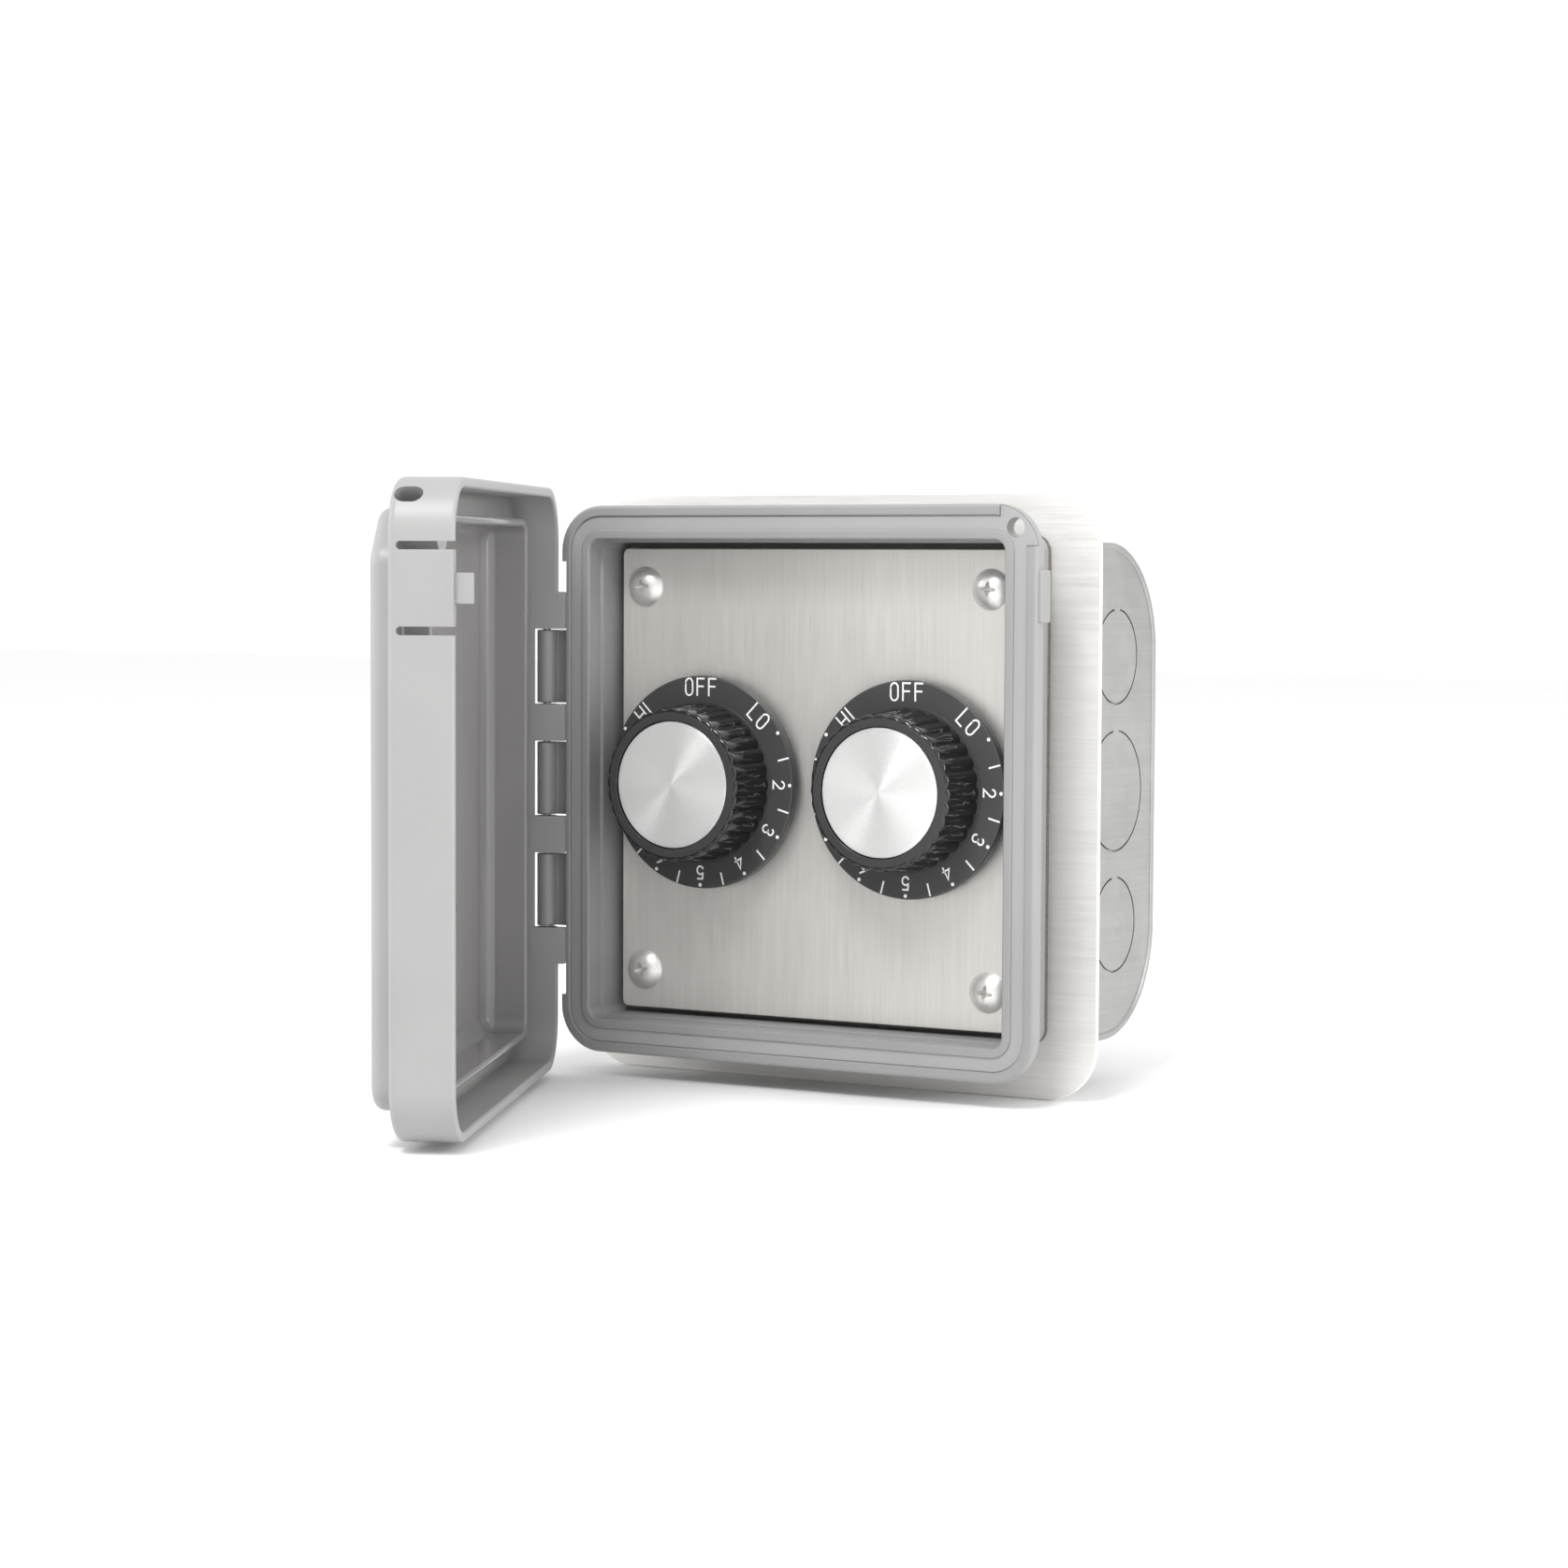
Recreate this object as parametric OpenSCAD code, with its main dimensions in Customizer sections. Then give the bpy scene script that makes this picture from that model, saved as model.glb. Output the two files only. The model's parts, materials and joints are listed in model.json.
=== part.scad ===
// Two-dial outdoor controller: recessed steel box, wall plate, weatherproof cover with side-hinged lid.
// X is to the right, the front faces -Y, Z is up. The origin is the centre of the box's back face.

/* [Box] */
// Outer width and height of the box
box_size = 114; // [113:0.5:116]
// Depth of the box, behind the wall plate
box_depth = 51.6; // [48:0.1:60]
// Outer radius of the box's two back corners
box_back_r = 25; // [15:1:28]
// Thickness of the box's sheet
sheet_t = 1.6; // [1.2:0.1:2]

/* [Knockouts] */
// Radius of the two smaller knockouts
ko_small_r = 11.1; // [10:0.1:12]
// Radius of the middle knockout
ko_large_r = 14.05; // [12:0.05:14.5]
// Spacing of the knockouts
ko_pitch = 30.9; // [28:0.1:32]
// Distance of the knockouts from the wall plate's front
ko_depth = 31.8; // [30:0.1:34]

/* [Wall plate] */
// Width of the wall plate
plate_w = 134.8; // [130:0.1:140]
// Height of the wall plate
plate_h = 135.8; // [130:0.1:140]
// Thickness of the wall plate and of the faceplate
plate_t = 1.2; // [1:0.1:1.5]
// Corner radius of the wall plate
plate_r = 12.7; // [10:0.1:15]

/* [Cover] */
// Width over the cover's rim
rim_w = 123.4; // [122:0.1:124]
// Height over the cover's rim
rim_h = 127.3; // [126:0.1:128]
// Depth of the cover, from its gasket to its rim
cover_depth = 19; // [18:0.5:22]
// How far the cover sits above the middle of the box
cover_lift = 1.5; // [0:0.1:2]
// How far the faceplate lies behind the rim
face_recess = 11; // [10:0.5:11]

/* [Faceplate] */
// Width of the faceplate
face_w = 102.9; // [100:0.1:104]
// Height of the faceplate
face_h = 107.6; // [104:0.1:108]
// Half the distance between the faceplate screws, across
screw_x = 45.2; // [44:0.1:46]
// Half the distance between the faceplate screws, upwards
screw_z = 44.9; // [44:0.1:46]

/* [Lid] */
// Width of the lid
lid_w = 131; // [130.9:0.1:131.2]
// Height of the lid
lid_h = 135.2; // [135:0.1:136]
// Depth of the lid's skirt
lid_depth = 13.7; // [13:0.1:15]
// How far the dome stands out of the skirt
dome_out = 5; // [4:0.5:6]
// How far the lid stands open, in degrees
lid_open = 65.6; // [0:0.1:170]

/* [Knobs] */
// Half the distance between the two knobs
knob_x = 26.9; // [26:0.1:28]
// Radius of the knob's skirt
skirt_r = 24.6; // [22:0.1:25]
// Radius of the fluted grip
grip_r = 18.3; // [17:0.1:19]
// Number of flutes round the grip
flutes = 32; // [24:1:36]
// Radius of the metal cap
cap_r = 14.45; // [12:0.05:15]

/* [Hidden] */
$fn = 64;
eps = 0.5; // overshoot of a cutting shape

// Depths, from the box's back to the front
plate_back = -box_depth;
plate_front = plate_back - plate_t;
gasket_t = 1.5;
seat = plate_front - gasket_t;
rim = seat - cover_depth;
face_front = rim + face_recess;
face_back = face_front + plate_t;

// Box
half_box = box_size / 2;
side_set_in = 0.4; // side plates lie this far inside the wrap's edges
groove_w = 0.45;
groove_d = 0.6;
tab_w = 3; // bridge that holds a knockout
fixing_x = 76.2;
fixing_z = 50.8;
fixing_r = 2.4;
ear = [15, 14];
ear_hole_r = 1.9;
ear_leg = 14;
earth_at = [0, -18];
earth_r = 2.4;

// Openings in the wall plate, gasket and cover floor
opening_w = 98;
opening_h = 76;
opening_r = 4;
clear_r = 2.3; // clearance holes for the faceplate screws

// Cover
rim_r = 10.5;
flange_t = 4;
band_out = 2.5; // outer band of the rim
band_mid = 3.1; // seal groove
band_in = 2.2; // inner lip
groove_depth = 1.2;
mouth_w = rim_w - 2 * (band_out + band_mid + band_in);
mouth_h = rim_h - 2 * (band_out + band_mid + band_in);
mouth_r = 2;
mouth_step = 5;  // the mouth narrows this far behind the rim
step_in = 0.7;
wall_t = 2;
floor_t = 2;
boss_r = 5;
low_corner = 9.2; // the outer band stops this far from the corner with the padlock hole
lip_bevel = 3.2;
lock_x = 56.3;
lock_z = 58.5;
lock_r = 2.1;
catch_z = 43.5;
catch_h = 11.4;
catch_out = 0.7;
catch_from = 1; // the catch starts this far behind the rim
catch_back = 5.8;

// Hinge: four lid straps and three cover knuckles on one pin
hinge_x = -(lid_w / 2 + 0.6);
hinge_y = rim + 0.6;
pin_r = 1;
running = 0.05; // radial running clearance
strap_w = 8.6;
strap_pitch = 26.2;
strap_past = 1.8; // a strap reaches this far past the lid's rim
knuckle_r = 2.6;
barrel_r = 2.2;
end_gap = 0.3; // between a knuckle's end and its neighbour
arm_from = 1.8; // a cover knuckle's arm starts this far behind the rim
barrel_len = strap_pitch - strap_w - 2 * end_gap;
hinge_half = 1.5 * strap_pitch + strap_w / 2 + 0.1;
rim_cut_half = hinge_half + 7; // the rim is cut back beside the hinge
rim_cut = 1.5;

// Lid, drawn closed
lid_r = 12;
skin = 2.2;
lid_rim = rim + 3.6;
lid_face = lid_rim - lid_depth;
dome_face = lid_face - dome_out;
ring_set_in = 7.2;
ring_t = 1.8;
ring_down = 6; // the inner ring ends this far inside the lid's rim
dome_set_in = 6.2;
ring_r = 5;
lock_clear = 3.5; // distance of the ring's cut corner from the padlock hole
lock_diagonal = (lock_x + lock_z) / sqrt(2);
ring_cut = lock_diagonal - lock_clear;
window_depth = 5.6;
post_r = 6.5;
post_gap = 0.6; // between the lid's corner post and the cover's rim
slot_w = 4.4;
slot_len = 6; // length of the padlock slot along the lid's depth
slot_from_face = 0.8;
slot_reach = 14;

// Latch
latch_z = 45.2;
tongue_w = 15.4;
slit_w = 1.7;
tongue_len = 11;
root_gap = 0.3;
ramp_len = 4;
ramp_out = 1.1;
hook_w = 6.2;
hook_len = 3.7;
hook_t = 1.6;
barb_in = 0.55;
barb_len = 1.2;
barb_ramp = 0.2;
hook_root = 1; // the hook starts this far inside the tongue's end

// Knobs and switches
skirt_back = rim + 8.4;
skirt_t = 2.7;
grip_front = rim - 7.2;
knob_h = skirt_back - grip_front;
hub_front = 4; // the shaft ends this far behind the knob's front
flute_r = 1.35;
cap_t = 0.9;
cap_proud = 0.25;
shaft_r = 3.175;
flat_at = 2.4;
spring_t = 0.45;
bushing_r = 4.76;
bushing_past = 1.4; // the bushing stands out of its nut
nut_flats = 14.3;
nut_t = 2;
washer_t = 0.6;
washer_r = 7.4;
bushing_len = plate_t + washer_t + nut_t + bushing_past;
case_w = 36;
case_h = 42;
case_depth = 26;
case_wall = 2.5;
case_r = 2;
front_t = 1.2;
case_front = face_back + front_t;
case_back = case_front + case_depth;
cam_y = case_front + 11;
cam_t = 4;
cam_r = 9;
tab = [6.35, 9, 0.8]; // width, length and thickness of a terminal
left = -1;
right = 1;

// ---- Shared shapes ----

// Extrudes an outline drawn in X and Z, from its back face to its front face
module slab(back, front) {
  translate([0, back, 0])
    rotate([90, 0, 0])
      linear_extrude(back - front)
        children();
}

// Extrudes an outline drawn in Y and Z, from left to right
module across(from, to) {
  translate([from, 0, 0])
    rotate([90, 0, 90])
      linear_extrude(to - from)
        children();
}

// Stands a shape drawn round +Z on the point [x, z] at depth y, pointing forwards
module facing(x, y, z) {
  translate([x, y, z])
    rotate([90, 0, 0])
      children();
}

module rounded(w, h, r) {
  square([w - 2 * r, h], center = true);
  square([w, h - 2 * r], center = true);
  for (sx = [-1, 1], sz = [-1, 1])
    translate([sx * (w / 2 - r), sz * (h / 2 - r)])
      circle(r);
}

module at_screws() {
  for (sx = [-1, 1], sz = [-1, 1])
    translate([sx * screw_x, sz * screw_z])
      children();
}

module in_cover() {
  translate([0, 0, cover_lift])
    children();
}

// A sheet with the switch opening and the four screw holes
module sheet_with_opening() {
  difference() {
    children();
    translate([0, cover_lift])
      rounded(opening_w, opening_h, opening_r);
    translate([0, cover_lift])
      at_screws()
        circle(clear_r);
  }
}

// ---- Box ----

// Side outline of the box: mouth at the left, round corners at the back
module box_outline(inset, mouth) {
  r = box_back_r - inset;
  h = half_box - inset;
  translate([mouth, -h])
    square([-box_back_r - mouth, 2 * h]);
  translate([mouth, -half_box + box_back_r])
    square([-inset - mouth, 2 * (half_box - box_back_r)]);
  for (s = [-1, 1])
    translate([-box_back_r, s * (half_box - box_back_r)])
      circle(r);
}

module box_wrap() {
  color("darkgray")
    difference() {
      across(-half_box, half_box)
        difference() {
          box_outline(0, plate_back);
          box_outline(sheet_t, plate_back - eps);
        }
      for (sx = [-1, 1], sz = [-1, 1])
        facing(sx * fixing_x / 2, eps, sz * fixing_z / 2)
          cylinder(h = sheet_t + 2 * eps, r = fixing_r);
      facing(earth_at[0], eps, earth_at[1])
        cylinder(h = sheet_t + 2 * eps, r = earth_r);
    }
}

// Ring groove of one knockout, broken by the tab that holds the disc
module knockout_groove(r) {
  difference() {
    cylinder(h = groove_d + eps, r = r);
    translate([0, 0, -eps])
      cylinder(h = groove_d + 3 * eps, r = r - groove_w);
    translate([-tab_w / 2, 0, -eps])
      cube([tab_w, r + eps, groove_d + 3 * eps]);
  }
}

module box_side() {
  outer = half_box - side_set_in;
  difference() {
    across(outer - sheet_t, outer)
      box_outline(sheet_t, plate_back);
    for (i = [-1:1])
      translate([outer - groove_d, plate_front + ko_depth, i * ko_pitch])
        rotate([0, 90, 0])
          rotate([0, 0, 90])
            knockout_groove(i == 0 ? ko_large_r : ko_small_r);
  }
}

module box_side_right() {
  color("darkgray")
    box_side();
}

module box_side_left() {
  color("darkgray")
    mirror([1, 0, 0])
      box_side();
}

// A tapped ear in each corner of the mouth, with a leg against the top or bottom sheet
module box_ears() {
  inner = half_box - sheet_t;
  color("darkgray")
    for (sx = [-1, 1], sz = [-1, 1])
      difference() {
        mirror([sx < 0 ? 1 : 0, 0, 0])
          mirror([0, 0, sz < 0 ? 1 : 0]) {
            translate([screw_x - ear[0] / 2, plate_back, inner - ear[1]])
              cube([ear[0], sheet_t, ear[1]]);
            translate([screw_x - ear[0] / 2, plate_back, inner - sheet_t])
              cube([ear[0], ear_leg, sheet_t]);
          }
        facing(sx * screw_x, plate_back + sheet_t + eps, cover_lift + sz * screw_z)
          cylinder(h = sheet_t + 2 * eps, r = ear_hole_r);
      }
}

module ground_screw() {
  head_r = 4.8;
  head_t = 3;
  flange_r = 5.6;
  flange_h = 0.9;
  slot = 1.2;
  color("seagreen")
    difference() {
      union() {
        facing(earth_at[0], 0, earth_at[1])
          cylinder(h = sheet_t, r = earth_r);
        facing(earth_at[0], -sheet_t, earth_at[1])
          cylinder(h = flange_h, r = flange_r);
        facing(earth_at[0], -sheet_t, earth_at[1])
          cylinder(h = head_t + flange_h, r = head_r, $fn = 6);
      }
      translate([earth_at[0] - flange_r, -sheet_t - head_t - flange_h - eps, earth_at[1] - slot / 2])
        cube([2 * flange_r, head_t / 2 + eps, slot]);
    }
}

// ---- Wall plate, gasket and cover ----

module wall_plate() {
  color("silver")
    slab(plate_back, plate_front)
      sheet_with_opening()
        rounded(plate_w, plate_h, plate_r);
}

module sleeve_outline() {
  rounded(mouth_w - 2 * step_in + 2 * wall_t, mouth_h - 2 * step_in + 2 * wall_t, mouth_r + wall_t);
}

module cover_gasket() {
  color("dimgray")
    slab(plate_front, seat)
      sheet_with_opening()
        translate([0, cover_lift])
          sleeve_outline();
}

// The raised inner lip, bevelled beside the padlock hole
module lip_outline() {
  inset = band_out + band_mid;
  difference() {
    rounded(rim_w - 2 * inset, rim_h - 2 * inset, rim_r - inset);
    translate([rim_w / 2 - inset, rim_h / 2 - inset])
      rotate([0, 0, 45])
        square(sqrt(2) * lip_bevel, center = true);
  }
}

// Floor of the seal groove, which runs out to the edge at the padlock corner
module groove_outline(gap, edge) {
  difference() {
    union() {
      rounded(rim_w - 2 * (band_out + gap), rim_h - 2 * (band_out + gap), rim_r - band_out - gap);
      intersection() {
        rounded(rim_w - 2 * edge, rim_h - 2 * edge, rim_r);
        translate([rim_w / 2 - low_corner + gap, rim_h / 2 - low_corner + gap])
          square(low_corner);
      }
    }
    lip_outline();
  }
}

// One knuckle of the cover: a barrel on the pin and the arm that carries it
module cover_knuckle() {
  translate([hinge_x, hinge_y, -barrel_len / 2])
    cylinder(h = barrel_len, r = barrel_r);
  translate([hinge_x, rim + arm_from, -barrel_len / 2])
    cube([-rim_w / 2 + rim_cut - hinge_x + eps, flange_t - arm_from, barrel_len]);
}

module cover_base() {
  color("darkgray")
    in_cover()
      difference() {
        union() {
          difference() {
            union() {
              slab(rim + flange_t, rim)
                rounded(rim_w, rim_h, rim_r);
              slab(seat, rim + flange_t)
                sleeve_outline();
            }
            slab(rim + mouth_step, rim - eps)
              rounded(mouth_w, mouth_h, mouth_r);
            slab(seat - floor_t, rim + mouth_step - eps)
              rounded(mouth_w - 2 * step_in, mouth_h - 2 * step_in, mouth_r);
            slab(seat + eps, seat - floor_t - eps)
              rounded(opening_w, opening_h, opening_r);
            slab(rim + groove_depth, rim - eps)
              groove_outline(0, -eps);
            translate([-rim_w / 2 - eps, rim - eps, -rim_cut_half])
              cube([rim_cut + eps, flange_t + 2 * eps, 2 * rim_cut_half]);
          }
          slab(seat - floor_t + eps, face_back)
            at_screws()
              circle(boss_r);
          for (i = [-1:1])
            translate([0, 0, i * strap_pitch])
              cover_knuckle();
          translate([rim_w / 2 - eps, rim + catch_from, catch_z - catch_h / 2])
            cube([catch_out + eps, catch_back - catch_from, catch_h]);
        }
        slab(seat + eps, face_back - eps)
          at_screws()
            circle(clear_r);
        facing(lock_x, rim + flange_t + eps, lock_z)
          cylinder(h = flange_t + 2 * eps, r = lock_r);
        translate([hinge_x, hinge_y, -hinge_half])
          cylinder(h = 2 * hinge_half, r = pin_r + running);
      }
}

module rim_seal() {
  gap = 0.1;
  thick = 0.7;
  color("gray")
    in_cover()
      slab(rim + groove_depth, rim + groove_depth - thick)
        difference() {
          groove_outline(gap, 2 * gap);
          translate([lock_x, lock_z])
            circle(lock_r + gap);
        }
}

module hinge_pin() {
  color("silver")
    in_cover()
      translate([hinge_x, hinge_y, end_gap - hinge_half])
        cylinder(h = 2 * (hinge_half - end_gap), r = pin_r);
}

// ---- Faceplate ----

module faceplate() {
  corner_r = 1.5;
  hole_gap = 0.1;
  color("silver")
    in_cover()
      slab(face_back, face_front)
        difference() {
          rounded(face_w, face_h, corner_r);
          at_screws()
            circle(clear_r);
          for (s = [-1, 1])
            translate([s * knob_x, 0])
              circle(bushing_r + hole_gap);
        }
}

// Round-head screw with a cross recess, drawn round +Z with its head's underside at zero
module cross_screw(length) {
  head_r = 4.75;
  head_h = 2.3;
  ball_r = (head_r * head_r + head_h * head_h) / (2 * head_h);
  recess = [4.8, 1, 1.5];
  difference() {
    union() {
      intersection() {
        translate([0, 0, head_h - ball_r])
          sphere(ball_r);
        cylinder(h = head_h, r = head_r + eps);
      }
      translate([0, 0, -length])
        cylinder(h = length, r = ear_hole_r);
    }
    for (turn = [0, 90])
      rotate([0, 0, turn])
        translate([-recess[0] / 2, -recess[1] / 2, head_h - recess[2]])
          cube([recess[0], recess[1], recess[2] + eps]);
    translate([0, 0, head_h - recess[2]])
      cylinder(h = recess[2] + eps, r = recess[1]);
  }
}

module faceplate_screws() {
  reach = plate_back + 2 * sheet_t - face_front;
  color("silver")
    for (sx = [-1, 1], sz = [-1, 1])
      facing(sx * screw_x, face_front, cover_lift + sz * screw_z)
        cross_screw(reach);
}

// ---- Switches: the parts of one switch, for the side left or right ----

module beside(side) {
  translate([side * knob_x, 0, cover_lift])
    children();
}

module switch_front(side) {
  color("silver")
    beside(side)
      difference() {
        union() {
          slab(case_front, face_back)
            rounded(case_w, case_h, case_r);
          facing(0, face_back, 0)
            cylinder(h = bushing_len, r = bushing_r);
        }
        facing(0, case_front + eps, 0)
          cylinder(h = front_t + bushing_len + 2 * eps, r = shaft_r + running);
      }
}

module switch_case(side) {
  color("saddlebrown")
    beside(side)
      difference() {
        slab(case_back, case_front)
          rounded(case_w, case_h, case_r);
        slab(case_back - case_wall, case_front - eps)
          rounded(case_w - 2 * case_wall, case_h - 2 * case_wall, case_r / 2);
      }
}

// Flat tabs, each with a hole for its connector's dimple
module switch_terminals(side) {
  hole_r = 0.9;
  hole_from_tip = 3;
  spread = 11;
  pitch = 12;
  spots = [[-1, 1], [-1, 0], [-1, -1], [1, 1], [1, -1]];
  color("gold")
    beside(side)
      for (spot = spots)
        translate([spot[0] * spread - tab[2] / 2, case_back, spot[1] * pitch - tab[0] / 2])
          difference() {
            cube([tab[2], tab[1], tab[0]]);
            translate([-eps, tab[1] - hole_from_tip, tab[0] / 2])
              rotate([0, 90, 0])
                cylinder(h = tab[2] + 2 * eps, r = hole_r);
          }
}

// A bimetal strip above the cam, held by a post on the case's upper wall
module contact_strip(side) {
  strip = [27, 6, 0.5];
  height = 12.5;
  post_w = 4;
  post_top = case_h / 2 - case_wall;
  color("peru")
    beside(side)
      translate([-strip[0] / 2, cam_y, height]) {
        cube(strip);
        translate([0, 0, strip[2]])
          cube([post_w, strip[1], post_top - height - strip[2]]);
      }
}

// Shapes a ring round a bushing, on the front of what lies behind it
module bushing_ring(back, thick) {
  facing(0, back, 0)
    difference() {
      linear_extrude(thick)
        children();
      translate([0, 0, -eps])
        cylinder(h = thick + 2 * eps, r = bushing_r);
    }
}

module lock_washers() {
  color("silver")
    for (side = [left, right])
      beside(side)
        bushing_ring(face_front, washer_t)
          circle(washer_r);
}

module bushing_nuts() {
  color("gold")
    for (side = [left, right])
      beside(side)
        bushing_ring(face_front - washer_t, nut_t)
          circle(nut_flats / 2 / cos(30), $fn = 6);
}

// Round bar with one flat, drawn round +Z
module d_bar(h, r, flat) {
  intersection() {
    cylinder(h = h, r = r);
    translate([-r - eps, -r - eps, -eps])
      cube([2 * (r + eps), r + eps + flat, h + 2 * eps]);
  }
}

// Round behind the knob and flatted inside it
module switch_shaft(side) {
  back = cam_y + cam_t + 2;
  flat_from = skirt_back - 1;
  front = grip_front + hub_front;
  color("silver")
    beside(side) {
      facing(0, back, 0)
        cylinder(h = back - flat_from, r = shaft_r);
      facing(0, flat_from + eps, 0)
        d_bar(flat_from + eps - front, shaft_r, flat_at);
    }
}

module switch_cam(side) {
  lobe_r = 3;
  lobe_out = 1;
  color("ivory")
    beside(side)
      facing(0, cam_y + cam_t, 0)
        difference() {
          union() {
            cylinder(h = cam_t, r = cam_r);
            translate([cam_r - lobe_r + lobe_out, 0, 0])
              cylinder(h = cam_t, r = lobe_r);
          }
          translate([0, 0, -eps])
            cylinder(h = cam_t + 2 * eps, r = shaft_r);
        }
}

// ---- Knobs ----

// Half section of the knob, without flutes: radius and height above the skirt's back
module knob_section() {
  edge = 0.5;
  shoulder = 4;
  crown = [1.1, 1.7];
  polygon([
    [0, 0], [skirt_r - edge, 0], [skirt_r, edge], [skirt_r, skirt_t - edge],
    [skirt_r - edge, skirt_t], [grip_r, skirt_t], [grip_r, knob_h - shoulder],
    [grip_r - crown[0], knob_h - edge], [grip_r - crown[1], knob_h], [0, knob_h]
  ]);
}

module knob(side) {
  hollow_r = 14;
  hollow = 7;
  hub_r = 6.2;
  hub_from = 2.1;
  flute_at = grip_r + 0.62 * flute_r;
  flute_from = skirt_t + 0.4;
  cap_gap = 0.25;
  color("dimgray")
    beside(side)
      facing(0, skirt_back, 0)
        difference() {
          rotate_extrude()
            knob_section();
          for (i = [0:flutes - 1])
            rotate([0, 0, (i + 0.5) * 360 / flutes])
              translate([flute_at, 0, flute_from])
                cylinder(h = knob_h, r = flute_r);
          difference() {
            translate([0, 0, -eps])
              cylinder(h = hollow + eps, r = hollow_r);
            translate([0, 0, hub_from])
              cylinder(h = hollow, r = hub_r);
          }
          translate([0, 0, -eps])
            d_bar(knob_h - hub_front + eps, shaft_r, flat_at + spring_t);
          translate([0, 0, knob_h - cap_t + cap_proud])
            cylinder(h = cap_t + eps, r = cap_r + cap_gap);
        }
}

module knob_cap(side) {
  edge = 0.25;
  color("gainsboro")
    beside(side)
      facing(0, grip_front + cap_t - cap_proud, 0)
        rotate_extrude()
          polygon([[0, 0], [cap_r, 0], [cap_r, cap_t - edge], [cap_r - edge, cap_t], [0, cap_t]]);
}

// Leaf spring between the shaft's flat and the knob's bore
module knob_spring(side) {
  spring_w = 2.6;
  spring_len = 7;
  color("silver")
    beside(side)
      translate([-spring_w / 2, grip_front + hub_front + 0.6, flat_at])
        cube([spring_w, spring_len, spring_t]);
}

// ---- Lid: drawn closed, then swung open about the hinge pin ----

module swung_open() {
  translate([hinge_x, hinge_y, cover_lift])
    rotate([0, 0, -lid_open])
      translate([-hinge_x, -hinge_y, 0])
        children();
}

// Lid outline at a distance inside the skirt, with the corner by the padlock hole cut off
module cut_outline(inset, r, cut_at) {
  difference() {
    rounded(lid_w - 2 * inset, lid_h - 2 * inset, r);
    rotate([0, 0, 45])
      translate([cut_at, -lid_h / 2])
        square([lid_h, lid_h]);
  }
}

// The flat strap and knuckle of the lid at one height
module lid_strap() {
  translate([-lid_w / 2, lid_face + skin, -strap_w / 2])
    cube([skin, lid_rim + strap_past - lid_face - skin, strap_w]);
  translate([hinge_x, hinge_y, -strap_w / 2])
    cylinder(h = strap_w, r = knuckle_r);
}

// Slot from the lid's corner inwards to the padlock hole, near the lid's face
module lock_slot() {
  first = lid_face + slot_from_face + slot_w / 2;
  last = first + slot_len - slot_w;
  translate([lock_x, 0, lock_z])
    rotate([0, -45, 0]) {
      for (y = [first, last])
        translate([0, y, 0])
          rotate([0, 90, 0])
            cylinder(h = slot_reach, r = slot_w / 2);
      translate([0, first, -slot_w / 2])
        cube([slot_reach, last - first, slot_w]);
    }
}

module lid_frame() {
  color("lightgray")
    swung_open()
      difference() {
        union() {
          difference() {
            slab(lid_rim, lid_face)
              rounded(lid_w, lid_h, lid_r);
            slab(lid_rim + eps, lid_face + skin)
              rounded(lid_w - 2 * skin, lid_h - 2 * skin, lid_r - skin);
            slab(lid_face + skin + eps, lid_face - eps)
              cut_outline(ring_set_in, ring_r, ring_cut);
            translate([-lid_w / 2 - eps, lid_rim - window_depth, -hinge_half])
              cube([skin + 2 * eps, window_depth + eps, 2 * hinge_half]);
          }
          for (i = [-1.5:1.5])
            translate([0, 0, i * strap_pitch])
              lid_strap();
          slab(rim - post_gap, lid_face)
            intersection() {
              rounded(lid_w - skin, lid_h - skin, lid_r - skin / 2);
              difference() {
                translate([lock_x, lock_z])
                  circle(post_r);
                cut_outline(ring_set_in, ring_r, ring_cut);
              }
            }
        }
        translate([lid_w / 2 - skin - eps, lid_rim - tongue_len - root_gap, latch_z - tongue_w / 2])
          cube([skin + 2 * eps, tongue_len + root_gap + eps, tongue_w]);
        for (s = [-1, 1])
          translate([lid_w / 2 - skin - eps, lid_rim - tongue_len, latch_z + s * (tongue_w + slit_w) / 2]) {
            translate([0, 0, -slit_w / 2 - (s > 0 ? eps : 0)])
              cube([skin + 2 * eps, tongue_len + eps, slit_w + eps]);
            rotate([0, 90, 0])
              cylinder(h = skin + 2 * eps, r = slit_w / 2);
          }
        facing(lock_x, lid_rim + eps, lock_z)
          cylinder(h = lid_depth + 2 * eps, r = lock_r);
        lock_slot();
        translate([hinge_x, hinge_y, -hinge_half - eps])
          cylinder(h = 2 * (hinge_half + eps), r = pin_r + running);
      }
}

module lid_dome() {
  inner = ring_set_in + ring_t;
  color("gainsboro")
    swung_open()
      difference() {
        union() {
          slab(lid_rim - ring_down, lid_face)
            cut_outline(ring_set_in, ring_r, ring_cut);
          slab(lid_face, dome_face)
            cut_outline(dome_set_in, ring_r + 1, ring_cut + 1);
        }
        slab(lid_rim, dome_face + skin)
          cut_outline(inner, ring_r - ring_t, ring_cut - ring_t);
      }
}

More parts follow.
